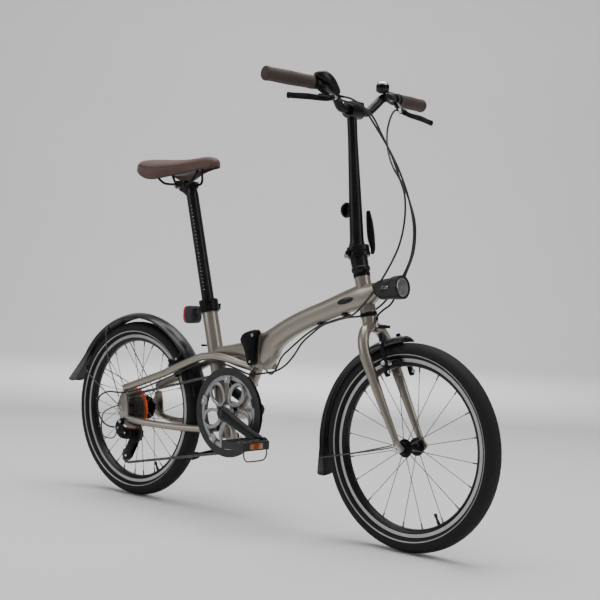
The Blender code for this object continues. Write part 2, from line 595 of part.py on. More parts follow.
def fork(bike):
    """Steerer, crown and two raked legs with brake bosses and dropouts."""
    foot = steer_at(0.5250)
    steerer = turned([(0.0170, 0.0), (0.0195, 0.010), (0.0195, 0.0315), (0.0143, 0.0315), (0.0143, 0.1920)],
                     foot, STEER_UP, 18)
    leg = swept([(0.8470, -0.0080, 0.5300, 0.0135, 0.0150), (0.8490, -0.0280, 0.5220, 0.0135, 0.0150),
                 (0.8570, -0.0445, 0.4980, 0.0130, 0.0148), (0.8680, -0.0505, 0.4680, 0.0125, 0.0145),
                 (0.8850, -0.0510, 0.4330, 0.0120, 0.0140), (0.9310, -0.0500, 0.3430, 0.0095, 0.0110),
                 (0.9690, -0.0485, 0.2700, 0.0070, 0.0085)], ACROSS, 12, 2.0, 12)
    dropout = slab(capsule((0.9700, 0.2680), 0.0090, (0.9790, 0.2500), 0.0110), -0.0510, -0.0460)
    boss_foot = Vector((0.8930, -0.0480, 0.4140))
    boss = rod(boss_foot, boss_foot + Vector((0.0130, 0.0, 0.0067)), 0.0075, 10)
    half = cut(fuse(leg, dropout, boss), bore(FRONT_AXLE, ACROSS, 0.0054, -0.1, 0.1, 12))
    node(bike, "fork", fuse(steerer, half, mirrored(half)), "champagne", steer_at(0.609))


def flange(low, high, long_half, short_half):
    """A diamond plate round the steering axis, its long way towards the latch."""
    short = STEER_UP.cross(LATCH_SIDE).normalized()
    rings = []
    for offset in (low, high):
        ring = []
        for k in range(16):
            turn = 2.0 * math.pi * k / 16.0
            along = long_half if math.cos(turn) > 0.0 else 0.0262
            reach = LATCH_SIDE * (along * math.cos(turn)) + short * (short_half * math.sin(turn))
            ring.append(FLANGE_PLANE + STEER_UP * offset + reach)
        rings.append(ring)
    return skin(rings)


def handlepost(bike):
    """Hinge base on the steerer, folding post with its flange and bar clamp, and the latch lever."""
    short = STEER_UP.cross(LATCH_SIDE).normalized()
    foot = steer_at(0.6610)
    rise = (FLANGE_PLANE - foot).length
    base = turned([(0.0205, 0.0), (0.0235, 0.006), (0.0235, 0.013), (0.0215, 0.016), (0.0225, rise - 0.008)],
                  foot, STEER_UP, 18)
    lug = rod(POST_HINGE - short * 0.0080, POST_HINGE + short * 0.0080, 0.0060, 10)
    solid = fuse(base, flange(-0.0130, -CLEARANCE, 0.0300, 0.0250), lug,
                 skin([[POST_HINGE + LATCH_SIDE * a + STEER_UP * -0.004 + short * b for a, b in
                        ((0.0, -0.0075), (0.020, -0.0075), (0.020, 0.0075), (0.0, 0.0075))],
                       [POST_HINGE + LATCH_SIDE * a + STEER_UP * (-CLEARANCE - 0.0005) + short * b for a, b in
                        ((0.0, -0.0075), (0.020, -0.0075), (0.020, 0.0075), (0.0, 0.0075))]]))
    ear_space = [rod(POST_HINGE + short * (s * 0.0083), POST_HINGE + short * (s * 0.0300), 0.0072, 12)
                 for s in (-1.0, 1.0)]
    pin_hole = rod(POST_HINGE - short * 0.03, POST_HINGE + short * 0.03, 0.0033, 10)
    solid = cut(solid, *ear_space, pin_hole, bore(foot, STEER_UP, 0.0147, -0.05, 0.0545, 18))
    node(bike, "post_base", solid, "black")

    ears = [rod(POST_HINGE + short * (s * 0.0086), POST_HINGE + short * (s * 0.0200), 0.0060, 10) for s in (-1.0, 1.0)]
    pin = rod(POST_HINGE - short * 0.0190, POST_HINGE + short * 0.0190, 0.0030, 8)
    knuckle_space = rod(POST_HINGE - short * 0.0083, POST_HINGE + short * 0.0083, 0.0072, 12)
    upper = cut(flange(CLEARANCE, 0.0150, 0.0300, 0.0250), knuckle_space)
    bridges = []
    for s in (-1.0, 1.0):
        corners = ((0.0, 0.0090), (0.0200, 0.0090), (0.0200, 0.0195), (0.0, 0.0195))
        bridges.append(skin([[POST_HINGE + LATCH_SIDE * a + STEER_UP * h + short * (s * b) for a, b in corners]
                             for h in (CLEARANCE + 0.0004, 0.0055)]))
    post_foot = FLANGE_PLANE + STEER_UP * 0.010
    post = turned([(0.0215, 0.0), (0.0200, 0.010), (0.0172, 0.022), (0.0160, 0.120), (0.0128, 0.250), (0.0125, 0.336)],
                  post_foot, POST_UP, 18)
    clamp_centre = Vector((0.7620, 0.0, 1.0640))
    clamp = turned([(0.0205, -0.0230), (0.0205, 0.0230)], clamp_centre, ACROSS, 18)
    cap = block((0.7440, -0.0190, 1.0640), (0.7800, 0.0190, 1.0860))
    knob = turned([(0.0060, 0.0), (0.0060, 0.020), (0.0190, 0.022), (0.0200, 0.026), (0.0160, 0.031)],
                  Vector((0.7760, 0.0, 0.8170)), Vector((-1.0, 0.0, 0.0)), 14)
    solid = fuse(upper, post, clamp, cap, knob, *ears, pin, *bridges)
    solid = cut(solid, rod(clamp_centre - ACROSS * 0.03, clamp_centre + ACROSS * 0.03, 0.0117, 16))
    node(bike, "handlepost", solid, "black", POST_HINGE)

    pivot = FLANGE_PLANE + LATCH_SIDE * 0.0370 + STEER_UP * 0.0060
    rows = []
    for reach, height, wide, thick in ((0.0365, -0.0080, 0.0100, 0.0045), (0.0380, 0.0060, 0.0120, 0.0062),
                                       (0.0345, 0.0330, 0.0120, 0.0092), (0.0320, 0.0720, 0.0110, 0.0080),
                                       (0.0300, 0.0980, 0.0080, 0.0050)):
        place = FLANGE_PLANE + LATCH_SIDE * reach + POST_UP * height
        rows.append((*place, wide, thick))
    node(bike, "post_latch", swept(rows, short, 9, 2.8, 10), "black", pivot)


# Cockpit
BAR_RADIUS = 0.0111
GRIP_START = 0.1650
GRIP_END = 0.3050


def bar_at(y):
    """A point on the straight outer stretch of the handlebar."""
    return Vector((0.7750 - (abs(y) - 0.125) * 0.1800, y, 1.1105 + (abs(y) - 0.125) * 0.0280))


def handlebar(bike):
    """Rise bar, grips, brake levers with their brackets, shifter and bell."""
    right_half = [bar_at(-0.3010), bar_at(-0.1650), bar_at(-0.1250), (0.7735, -0.1000, 1.1065), (0.7690, -0.0780, 1.0870),
                  (0.7640, -0.0560, 1.0680), (0.7620, -0.0380, 1.0640), (0.7620, -0.0200, 1.0640)]
    left_half = [(x, -y, z) for x, y, z in reversed(right_half)]
    node(bike, "handlebar", pipe(right_half + left_half, BAR_RADIUS, 31, UP, 12), "black")
    for name, side in (("right", -1.0), ("left", 1.0)):
        start = bar_at(side * GRIP_START)
        along = bar_at(side * GRIP_END) - start
        length = along.length
        grip = turned([(0.0150, 0.0), (0.0170, 0.004), (0.0160, 0.020), (0.0175, 0.070), (0.0168, length - 0.010),
                       (0.0178, length - 0.006), (0.0165, length)], start, along, 16)
        hollow = turned([(0.0117, -0.01), (0.0117, length - 0.0032)], start, along, 16)
        node(bike, f"{name}_grip", cut(grip, hollow), "brown")


def lever_parts(side):
    """Bracket and blade of the brake lever on one side, and the blade's pivot."""
    seat = bar_at(side * 0.1520)
    along = (bar_at(side * 0.20) - seat).normalized()
    ring = turned([(0.0155, -0.0070), (0.0155, 0.0070)], seat, along, 14)
    arm = swept([(seat.x + 0.006, side * 0.1500, seat.z - 0.010, 0.0070, 0.0070),
                 (0.7960, side * 0.1420, 1.0850, 0.0080, 0.0075), (0.8080, side * 0.1330, 1.0760, 0.0070, 0.0070)],
                ACROSS, None, 2.6, 8)
    tool = turned([(0.0118, -0.05), (0.0118, 0.05)], seat, along, 16)
    bracket = cut(fuse(ring, arm), tool)
    blade = swept([(0.8110, side * 0.1470, 1.0735, 0.0040, 0.0060), (0.8110, side * 0.1700, 1.0695, 0.0040, 0.0065),
                   (0.8060, side * 0.2200, 1.0680, 0.0036, 0.0070), (0.7980, side * 0.2650, 1.0650, 0.0038, 0.0070),
                   (0.7960, side * 0.2800, 1.0640, 0.0060, 0.0075)], Vector((1.0, 0.0, 0.0)), 9, 2.4, 8)
    return bracket, blade, Vector((0.8110, side * 0.1500, 1.0735))


def controls(bike):
    """Brake levers on both sides, the shifter pod on the right with its trigger, and the bell on the left."""
    bracket, blade, pivot = lever_parts(-1.0)
    pod = swept([(0.7740, -0.1620, 1.1290, 0.0130, 0.0070), (0.7800, -0.1500, 1.1280, 0.0170, 0.0110),
                 (0.7860, -0.1300, 1.1180, 0.0170, 0.0140), (0.7880, -0.1090, 1.1020, 0.0130, 0.0110),
                 (0.7880, -0.0970, 1.0920, 0.0090, 0.0080)],
                Vector((1.0, 0.0, 0.0)), 7, 3.0, 12)
    around_bar = pipe([bar_at(-0.1800), bar_at(-0.1250), (0.7735, -0.1000, 1.1065), (0.7690, -0.0780, 1.0870)],
                      0.0126, 8, UP, 14)
    node(bike, "shifter_pod", fuse(bracket, cut(pod, around_bar)), "black")
    node(bike, "right_brake_lever", blade, "black", pivot)
    trigger_pivot = Vector((0.7880, -0.1180, 1.0870))
    trigger = swept([(0.7880, -0.1160, 1.0865, 0.0060, 0.0035), (0.7800, -0.1260, 1.0820, 0.0055, 0.0032),
                     (0.7660, -0.1400, 1.0820, 0.0070, 0.0030)], UP, None, 2.6, 8)
    node(bike, "shift_trigger", trigger, "black", trigger_pivot)
    bracket, blade, pivot = lever_parts(1.0)
    node(bike, "left_lever_bracket", bracket, "black")
    node(bike, "left_brake_lever", blade, "black", pivot)
    foot = Vector((0.7770, 0.0930, 1.1190))
    base = turned([(0.0090, 0.0), (0.0160, 0.004), (0.0168, 0.011)], foot, UP, 16)
    cap = turned([(0.0168, 0.0113), (0.0165, 0.020), (0.0140, 0.0265), (0.0060, 0.0295)], foot, UP, 16)
    node(bike, "bell_base", base, "black")
    node(bike, "bell_cap", cap, "steel", foot)


# Brakes
def brake_arm(axle, reach, angle, splay, side, root, tip):
    """A V-brake arm with its pad, and its pivot; root and tip are its distances from the middle plane."""
    out = Vector((math.cos(angle), 0.0, math.sin(angle)))
    tangent = Vector((-math.sin(angle), 0.0, math.cos(angle)))
    pivot = axle + out * reach + ACROSS * (side * root) + tangent * splay
    rows = []
    for distance, share, wide, high in ((-0.008, 0.0, 0.0065, 0.0055), (0.0, 0.0, 0.0070, 0.0060),
                                        (0.030, 0.25, 0.0060, 0.0055), (0.070, 0.65, 0.0050, 0.0050),
                                        (0.096, 1.0, 0.0055, 0.0055)):
        place = pivot + out * distance
        rows.append((place.x, side * (root + (tip - root) * share), place.z, wide, high))
    arm = swept(rows, ACROSS, 8, 2.4, 8)
    pad_out = (out * 0.2060 + tangent * splay).normalized()
    pad_along = Vector((-pad_out.z, 0.0, pad_out.x))
    pad_centre = axle + pad_out * 0.2060
    y = side * 0.0200
    pad = skin([[pad_centre + pad_along * a + pad_out * b + ACROSS * (y + c) for b, c in
                 ((-0.0045, -0.0048), (0.0045, -0.0048), (0.0045, 0.0048), (-0.0045, 0.0048))]
                for a in (-0.029, 0.029)])
    post = rod(pad_centre + ACROSS * y, pad_centre + ACROSS * (side * root), 0.0035, 8)
    return fuse(arm, pad, post), pivot


def brakes(bike):
    """Two arms on the fork and two on the upper stays."""
    for name, side in (("right", -1.0), ("left", 1.0)):
        arm, pivot = brake_arm(FRONT_AXLE, 0.1800, math.radians(111.5), -0.0245, side, 0.0480, 0.0345)
        node(bike, f"{name}_front_brake_arm", arm, "black", pivot)
        arm, pivot = brake_arm(REAR_AXLE, 0.1760, math.radians(38.5), 0.0, side, 0.0340, 0.0405)
        node(bike, f"{name}_rear_brake_arm", arm, "black", pivot)


# Seat
SADDLE_ROWS = [(0.0120, 0.0450, 0.9560, 0.9420), (0.0300, 0.0660, 0.9630, 0.9280), (0.0650, 0.0780, 0.9640, 0.9110),
               (0.1000, 0.0750, 0.9630, 0.9040), (0.1450, 0.0560, 0.9615, 0.9120), (0.1950, 0.0350, 0.9630, 0.9240),
               (0.2450, 0.0250, 0.9670, 0.9340), (0.2740, 0.0190, 0.9640, 0.9370), (0.2890, 0.0090, 0.9540, 0.9410)]
PAD_THICKNESS = 0.0210


def saddle(bike):
    """Arched cushion over a base shell that carries the two rails."""
    rings = []
    plates = []
    for x, half, top, rim in smooth(SADDLE_ROWS, 15):
        ring = []
        for k in range(9):
            turn = math.pi * k / 8.0
            c = math.cos(turn)
            y = math.copysign(abs(c) ** 0.75, c) * half
            ring.append((x, y, rim + (top - rim) * math.sin(turn) ** 0.62))
        inner_top = max(top - PAD_THICKNESS, rim + 0.001)
        for k in range(7):
            turn = math.pi * (1.0 - k / 6.0)
            c = math.cos(turn)
            y = math.copysign(abs(c) ** 0.75, c) * (half - 0.0045)
            ring.append((x, y, rim + (inner_top - rim) * math.sin(turn) ** 0.62))
        rings.append(ring)
    node(bike, "saddle", skin(rings), "brown")
    for x, half, top, rim in smooth(SADDLE_ROWS, 15)[2:12]:
        z = top - PAD_THICKNESS - 0.0040
        plates.append([(x, y, z + h) for y, h in ((-half * 0.55, -0.0030), (half * 0.55, -0.0030), (half * 0.55, 0.0005),
                                                  (-half * 0.55, 0.0005))])
    shell = skin(plates)
    rail = pipe([(0.0620, -0.0340, 0.9370), (0.0720, -0.0330, 0.9200), (0.0940, -0.0260, 0.8990), (0.1160, -0.0220, 0.8930),
                 (0.1600, -0.0220, 0.8920), (0.1950, -0.0220, 0.8930), (0.2080, -0.0190, 0.9020), (0.2160, -0.0110, 0.9200),
                 (0.2190, -0.0090, 0.9420)], 0.0035, 13, ACROSS, 6)
    node(bike, "saddle_rails", fuse(shell, rail, mirrored(rail)), "black")
    low = seat_at(0.4100)
    length = (0.8720 - 0.4100) / SEAT_UP.z
    post = turned([(0.0170, 0.0), (0.0170, length - 0.010), (0.0150, length + 0.006)], low, SEAT_UP, 20)
    head = swept([(0.1920, 0, 0.8640, 0.0150, 0.0140), (0.1800, 0, 0.8790, 0.0170, 0.0200),
                  (0.1740, 0, 0.8865, 0.0270, 0.0260)], ACROSS, None, 3.2, 10)
    lid = block((0.1480, -0.0290, 0.8850), (0.1860, 0.0290, 0.9020))
    rail_space = [rod((0.12, y, 0.8920), (0.22, y, 0.8920), 0.0041, 10) for y in (-0.0220, 0.0220)]
    bolt = rod((0.1440, -0.020, 0.8870), (0.1440, 0.020, 0.8870), 0.0070, 10)
    bolt_arm = block((0.1440, -0.0090, 0.8805), (0.1700, 0.0090, 0.8935))
    node(bike, "seatpost", cut(fuse(post, head, lid, bolt_arm, bolt), *rail_space), "black", seat_at(0.566))


# Cables, each as a list of points chosen along its real route
SHIFT_CABLE = [(0.7900, -0.0860, 1.0870), (0.7970, -0.0500, 1.0840), (0.8070, -0.0150, 1.0640), (0.8360, 0.0060, 1.0130),
               (0.8770, 0.0110, 0.9540), (0.9090, 0.0120, 0.9000), (0.9380, 0.0090, 0.8400), (0.9550, 0.0080, 0.7800),
               (0.9480, 0.0180, 0.7300), (0.9290, 0.0290, 0.6880), (0.8960, 0.0370, 0.6420), (0.8500, 0.0350, 0.5880),
               (0.8050, 0.0220, 0.5580), (0.7600, 0.0080, 0.5490), (0.7200, 0.0060, 0.5380), (0.6810, 0.0050, 0.5245),
               (0.6420, 0.0060, 0.4985), (0.6150, 0.0050, 0.4760), (0.5910, 0.0030, 0.4430), (0.5660, -0.0005, 0.4160),
               (0.5340, -0.0030, 0.3980), (0.5050, -0.0140, 0.3905), (0.4700, -0.0330, 0.3855), (0.4320, -0.0320, 0.3930),
               (0.3850, -0.0335, 0.4035), (0.3350, -0.0345, 0.4075), (0.3000, -0.0365, 0.4040), (0.2730, -0.0395, 0.3965),
               (0.2100, -0.0470, 0.3695), (0.1530, -0.0530, 0.3450), (0.0600, -0.0600, 0.3105), (0.0000, -0.0740, 0.2980),
               (-0.0620, -0.0660, 0.2940), (-0.1120, -0.0575, 0.2730), (-0.1150, -0.0570, 0.2330),
               (-0.0850, -0.0615, 0.2040), (-0.0500, -0.0685, 0.1960), (-0.0140, -0.0760, 0.1970)]
REAR_BRAKE_CABLE = [(0.8060, -0.1240, 1.0780), (0.8120, -0.0900, 1.0720), (0.8170, -0.0450, 1.0690), (0.8290, -0.0100, 1.0470),
                    (0.8560, -0.0010, 0.9980), (0.8870, 0.0020, 0.9450), (0.9100, 0.0030, 0.8950), (0.9310, 0.0000, 0.8500),
                    (0.9370, -0.0050, 0.7900), (0.9320, -0.0160, 0.7300), (0.9120, -0.0280, 0.6750),
                    (0.8850, -0.0370, 0.6280), (0.8500, -0.0350, 0.5900), (0.8070, -0.0230, 0.5600), (0.7620, -0.0070, 0.5500),
                    (0.7200, -0.0050, 0.5380), (0.6810, -0.0050, 0.5245), (0.6360, -0.0060, 0.4980), (0.5850, -0.0030, 0.4620),
                    (0.5480, 0.0040, 0.4360), (0.5260, 0.0090, 0.4050), (0.5050, 0.0180, 0.3890), (0.4780, 0.0340, 0.3860),
                    (0.4450, 0.0450, 0.4000), (0.4000, 0.0500, 0.4200), (0.3500, 0.0500, 0.4350), (0.3000, 0.0450, 0.4440),
                    (0.2650, 0.0320, 0.4470), (0.2350, 0.0150, 0.4460)]
FRONT_BRAKE_CABLE = [(0.8060, 0.1240, 1.0780), (0.8080, 0.1050, 1.0740), (0.8070, 0.0900, 1.0520), (0.8120, 0.0740, 1.0150),
                     (0.8350, 0.0500, 0.9700), (0.8690, 0.0290, 0.9250), (0.9030, 0.0210, 0.8860), (0.9280, 0.0200, 0.8450),
                     (0.9440, 0.0280, 0.7850), (0.9380, 0.0360, 0.7200), (0.9110, 0.0440, 0.6650), (0.8900, 0.0420, 0.6200),
                     (0.8820, 0.0270, 0.5890), (0.8730, 0.0100, 0.5740), (0.8640, 0.0000, 0.5600), (0.8650, -0.0050, 0.5450)]


def cable(bike, name, route, count):
    """A cable housing as a curve with a round bevel and filled ends."""
    curve = bpy.data.curves.new(name, "CURVE")
    curve.dimensions = "3D"
    curve.bevel_depth = CABLE_RADIUS
    curve.bevel_resolution = 2
    curve.use_fill_caps = True
    spline = curve.splines.new("POLY")
    spline.points.add(count - 1)
    for point, place in zip(spline.points, smooth(route, count)):
        point.co = (*place, 1.0)
    material = bpy.data.materials.new(name)
    material.use_nodes = True
    shader = material.node_tree.nodes["Principled BSDF"]
    shader.inputs["Base Color"].default_value = (*FINISHES["black"][0], 1.0)
    shader.inputs["Roughness"].default_value = 0.5
    curve.materials.append(material)
    item = bpy.data.objects.new(name, curve)
    item.parent = bike
    bpy.context.scene.collection.objects.link(item)


def main():
    """Build every sub-part."""
    bike = start_scene()
    wheels(bike)
    axles(bike)
    rear_frame(bike)
    stays(bike)
    seat_collar(bike)
    mudguards(bike)
    kickstand(bike)
    chainring(bike)
    cranks(bike)
    chain(bike)
    derailleur(bike)
    front_frame(bike)
    fork(bike)
    handlepost(bike)
    handlebar(bike)
    controls(bike)
    brakes(bike)
    saddle(bike)
    cable(bike, "shift_cable", SHIFT_CABLE, 78)
    cable(bike, "rear_brake_cable", REAR_BRAKE_CABLE, 62)
    cable(bike, "front_brake_cable", FRONT_BRAKE_CABLE, 36)


main()
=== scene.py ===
# %% [markdown]
# # A folding bicycle, piece by piece
# The bicycle's hard parts come ready made as a imported CAD model, with a named body for everything that moves.
# This lesson dresses that model. It builds finer surfaces over the plain solids, adds the small parts that a
# CAD model leaves out, and gives every surface a finish made of shader nodes.
# The first cell loads the model and reads the places of the two hubs from its joints.

# %% Load the imported model
import json
import math

import bmesh
import bpy
import numpy as np
from mathutils import Matrix, Vector


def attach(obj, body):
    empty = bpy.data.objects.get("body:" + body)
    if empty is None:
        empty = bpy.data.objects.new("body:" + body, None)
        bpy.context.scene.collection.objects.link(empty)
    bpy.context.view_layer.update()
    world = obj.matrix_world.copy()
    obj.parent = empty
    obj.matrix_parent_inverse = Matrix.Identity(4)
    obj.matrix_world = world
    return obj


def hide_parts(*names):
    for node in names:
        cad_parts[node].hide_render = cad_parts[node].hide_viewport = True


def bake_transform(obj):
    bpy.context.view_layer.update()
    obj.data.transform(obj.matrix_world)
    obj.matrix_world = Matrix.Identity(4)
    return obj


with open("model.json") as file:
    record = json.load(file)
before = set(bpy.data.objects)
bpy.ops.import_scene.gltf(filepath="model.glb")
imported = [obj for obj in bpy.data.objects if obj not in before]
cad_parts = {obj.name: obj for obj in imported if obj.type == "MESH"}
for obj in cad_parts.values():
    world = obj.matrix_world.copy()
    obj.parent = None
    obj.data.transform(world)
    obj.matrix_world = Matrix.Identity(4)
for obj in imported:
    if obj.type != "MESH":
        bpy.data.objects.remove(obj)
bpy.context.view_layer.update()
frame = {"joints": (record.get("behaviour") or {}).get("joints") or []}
JOINTS = {joint["name"]: joint for joint in frame["joints"]}
SHIFT = np.array([JOINTS["rear_wheel_spin"]["pos_m"][0], 0.0, 0.0])
REAR_HUB = np.array([0.0, 0.0, JOINTS["rear_wheel_spin"]["pos_m"][2]])
FRONT_HUB = np.array(JOINTS["front_wheel_spin"]["pos_m"]) - SHIFT
print("wheelbase:", round(float(FRONT_HUB[0]), 4), "m")

# %% [markdown]
# ## The camera
# A product picture of a bicycle is taken from far away with a long lens, so that the near wheel doesn't swell.
# The camera stands low, about as high as the head tube, in front of the bicycle on its right side.
# Its turn is built from three angles: round the bicycle, up, and a small roll. The three rows of the matrix are
# the picture's right, its up, and the way back from the picture to the eye.

# %% Camera
def camera_matrix(place, around, above, roll):
    """Rotation from three angles; columns are the picture's right, its up, and the way back to the eye."""
    back = Vector((math.sin(around) * math.cos(above), -math.cos(around) * math.cos(above), math.sin(above)))
    right = Vector((math.cos(around), math.sin(around), 0.0))
    up = back.cross(right)
    rolled_right = right * math.cos(roll) + up * math.sin(roll)
    rolled_up = up * math.cos(roll) - right * math.sin(roll)
    turn = Matrix((rolled_right, rolled_up, back)).transposed().to_4x4()
    return Matrix.Translation(place) @ turn


lens = bpy.data.cameras.new("long_lens")
SENSOR_MM, FOCAL_MM = 36.0, 76.3
lens.sensor_width, lens.lens = SENSOR_MM, FOCAL_MM
camera = bpy.data.objects.new("camera", lens)
bpy.context.scene.collection.objects.link(camera)
eye = Vector((2.7842, -2.4434, 0.6452)) + Vector(SHIFT)
AROUND, ABOVE, ROLL = (math.radians(angle) for angle in (41.698, 1.021, 2.203))
camera.matrix_world = camera_matrix(eye, AROUND, ABOVE, ROLL)
bpy.context.scene.camera = camera
print("camera is", round(eye.length, 2), "m from the bicycle's middle")

# %% [markdown]
# ## Shader maths written as Python
# A finish is easier to read as a formula than as a drawing of nodes. One small class wraps a shader socket and
# overloads + - * / and **, so `0.3 + 0.1 * grain` adds the two Math nodes by itself. The reflected forms let a
# number stand on the left. Everything that isn't plain maths comes from one method, `node`, which sets a node's
# options first and its inputs after that.

# %% Signals and finishes
class Signal:
    """A shader socket that can be used in arithmetic."""

    def __init__(self, finish, socket):
        self.finish = finish
        self.socket = socket

    def maths(self, operation, *values, clamp=False):
        return self.finish.node("ShaderNodeMath", {"operation": operation, "use_clamp": clamp},
                                dict(enumerate(values)))

    def __add__(self, other):
        return self.maths("ADD", self, other)

    def __radd__(self, other):
        return self.maths("ADD", other, self)

    def __sub__(self, other):
        return self.maths("SUBTRACT", self, other)

    def __rsub__(self, other):
        return self.maths("SUBTRACT", other, self)

    def __mul__(self, other):
        return self.maths("MULTIPLY", self, other)

    def __rmul__(self, other):
        return self.maths("MULTIPLY", other, self)

    def __truediv__(self, other):
        return self.maths("DIVIDE", self, other)

    def __rtruediv__(self, other):
        return self.maths("DIVIDE", other, self)

    def __pow__(self, other):
        return self.maths("POWER", self, other)

    def __rpow__(self, other):
        return self.maths("POWER", other, self)

    def __neg__(self):
        return self.maths("MULTIPLY", self, -1.0)

    def __abs__(self):
        return self.maths("ABSOLUTE", self)

    def sine(self):
        return self.maths("SINE", self)

    def clamped(self):
        return self.maths("ADD", self, 0.0, clamp=True)

    def step(self, edge, softness):
        """0 below the edge and 1 above it, with a ramp of the given width: clamp((x - edge) / softness + 0.5)."""
        return ((self - edge) / softness + 0.5).clamped()


class Finish:
    """One material: a Principled shader, and the nodes that vary its colour, roughness and bumps."""

    def __init__(self, name, **constants):
        self.material = bpy.data.materials.new(name)
        self.material.use_nodes = True
        self.tree = self.material.node_tree
        self.shader = self.tree.nodes["Principled BSDF"]
        for socket, value in constants.items():
            self.shader.inputs[socket.replace("_", " ")].default_value = value
        self.coordinates = self.tree.nodes.new("ShaderNodeTexCoord")
        self.place = Signal(self, self.coordinates.outputs["Object"])
        self.flat = Signal(self, self.coordinates.outputs["UV"])

    def node(self, kind, settings, inputs, output=0):
        made = self.tree.nodes.new(kind)
        for option, value in settings.items():
            setattr(made, option, value)
        for key, value in inputs.items():
            if isinstance(value, Signal):
                self.tree.links.new(value.socket, made.inputs[key])
            else:
                made.inputs[key].default_value = value
        return Signal(self, made.outputs[output])

    def noise(self, scale, detail=3.0, rough=0.5, where=None):
        source = where or self.place
        return self.node("ShaderNodeTexNoise", {}, {"Vector": source, "Scale": scale, "Detail": detail,
                                                    "Roughness": rough})

    def cells(self, scale, where=None, feature="F1"):
        return self.node("ShaderNodeTexVoronoi", {"feature": feature},
                         {"Vector": where or self.place, "Scale": scale})

    def stretched(self, x, y, z, source=None):
        return self.node("ShaderNodeMapping", {}, {"Vector": source or self.place, "Scale": (x, y, z)})

    def parts(self, source=None):
        """The three coordinates as three signals."""
        split = self.node("ShaderNodeSeparateXYZ", {}, {"Vector": source or self.place})
        outputs = split.socket.node.outputs
        return [Signal(self, outputs[k]) for k in range(3)]

    def mix(self, amount, first, second):
        """A colour that goes from the first to the second."""
        made = self.tree.nodes.new("ShaderNodeMix")
        made.data_type = "RGBA"
        for key, value in ((0, amount), (6, first), (7, second)):
            if isinstance(value, Signal):
                self.tree.links.new(value.socket, made.inputs[key])
            else:
                made.inputs[key].default_value = value if key == 0 else (*value, 1.0)
        return Signal(self, made.outputs[2])

    def bump(self, height, strength, distance, under=None):
        inputs = {"Height": height, "Strength": strength, "Distance": distance}
        if under:
            inputs["Normal"] = under
        return self.node("ShaderNodeBump", {}, inputs)

    def wear(self, **signals):
        """Link varying signals to the shader: colour, roughness, metallic, coat, alpha, glow or normal."""
        names = {"colour": "Base Color", "roughness": "Roughness", "metallic": "Metallic",
                 "coat": "Coat Weight",
                 "alpha": "Alpha", "glow": "Emission Color", "normal": "Normal"}
        for key, value in signals.items():
            self.tree.links.new(value.socket, self.shader.inputs[names[key]])
        return self.material


# %% [markdown]
# ## The finishes
# Each finish is a small recipe. A real surface is never even: paint carries metal flakes and fine polishing
# lines, moulded plastic has a pebbled skin, rubber turns grey where it is handled, and metal is rubbed brighter
# on its ridges. So each recipe has at least one fine pattern in its bumps, and one wide soft pattern in its
# roughness or colour. Scales are per metre: a noise of scale 900 has spots about a millimetre wide.

# %% Paint, alloy and steel
def champagne():
    """Satin metallic paint: fine flakes, long faint polishing lines, and a clear coat on top."""
    f = Finish("champagne_paint", Metallic=0.86, Coat_Roughness=0.16, Coat_IOR=1.5)
    lines = f.noise(60.0, 4.0, 0.6, f.stretched(1.0, 26.0, 26.0))
    flakes = f.cells(2600.0)
    drift = f.noise(5.0, 2.0)
    colour = f.mix((0.25 * drift + 0.75 * lines).clamped(), (0.205, 0.182, 0.15), (0.345, 0.312, 0.262))
    return f.wear(colour=colour, roughness=0.25 + 0.16 * lines + 0.05 * drift, coat=0.4 + 0.3 * drift,
                  normal=f.bump(0.35 * flakes + 0.65 * lines, 0.05, 0.0004))


def alloy(name, dark, light, roughness, grain=1500.0, metallic=0.9):
    """Cast or anodised alloy: a fine sandy grain, with soft patches rubbed a little lighter."""
    f = Finish(name, Metallic=metallic)
    sand = f.noise(grain, 3.0, 0.6)
    rubs = f.noise(38.0, 5.0, 0.62)
    colour = f.mix((1.6 * rubs - 0.45).clamped(), dark, light)
    return f.wear(colour=colour, roughness=roughness - 0.1 + 0.18 * rubs + 0.08 * sand,
                  normal=f.bump(sand, 0.12, 0.0003))


def gloss_black():
    """Glossy moulded plastic: nearly smooth, with slow waves from the mould, light dust and hairline scratches."""
    f = Finish("gloss_black", Coat_Weight=0.12, Coat_Roughness=0.1, Specular_IOR_Level=0.32)
    waves = f.noise(22.0, 2.0)
    scratch = f.noise(300.0, 5.0, 0.7, f.stretched(1.0, 9.0, 3.0))
    dust = f.noise(9.0, 6.0, 0.68)
    colour = f.mix((1.4 * dust - 0.5).clamped(), (0.0025, 0.0025, 0.003), (0.008, 0.008, 0.009))
    return f.wear(colour=colour, roughness=0.24 + 0.1 * dust + 0.06 * scratch.step(0.66, 0.1),
                  normal=f.bump(waves + 0.06 * scratch, 0.03, 0.0008))


def pebbled(name, dark, light, roughness=0.52, pebble=1300.0):
    """Moulded plastic with a pebbled skin: many small round cells, and polish where hands touch."""
    f = Finish(name, IOR=1.48)
    skin_cells = f.cells(pebble)
    cloud = f.noise(26.0, 4.0, 0.6)
    colour = f.mix((0.5 * skin_cells + 0.6 * cloud).clamped(), dark, light)
    return f.wear(colour=colour, roughness=roughness + 0.22 * cloud - 0.11,
                  normal=f.bump(skin_cells, 0.3, 0.0004))


def steel(name, dark, light, roughness):
    """Plated steel: bright, with fine turned lines and slight clouding."""
    f = Finish(name, Metallic=1.0)
    lines = f.noise(500.0, 3.0, 0.5, f.stretched(1.0, 6.0, 1.0))
    cloud = f.noise(45.0, 5.0, 0.65)
    return f.wear(colour=f.mix(cloud, dark, light), roughness=roughness + 0.14 * cloud + 0.06 * lines,
                  normal=f.bump(lines, 0.06, 0.0003))


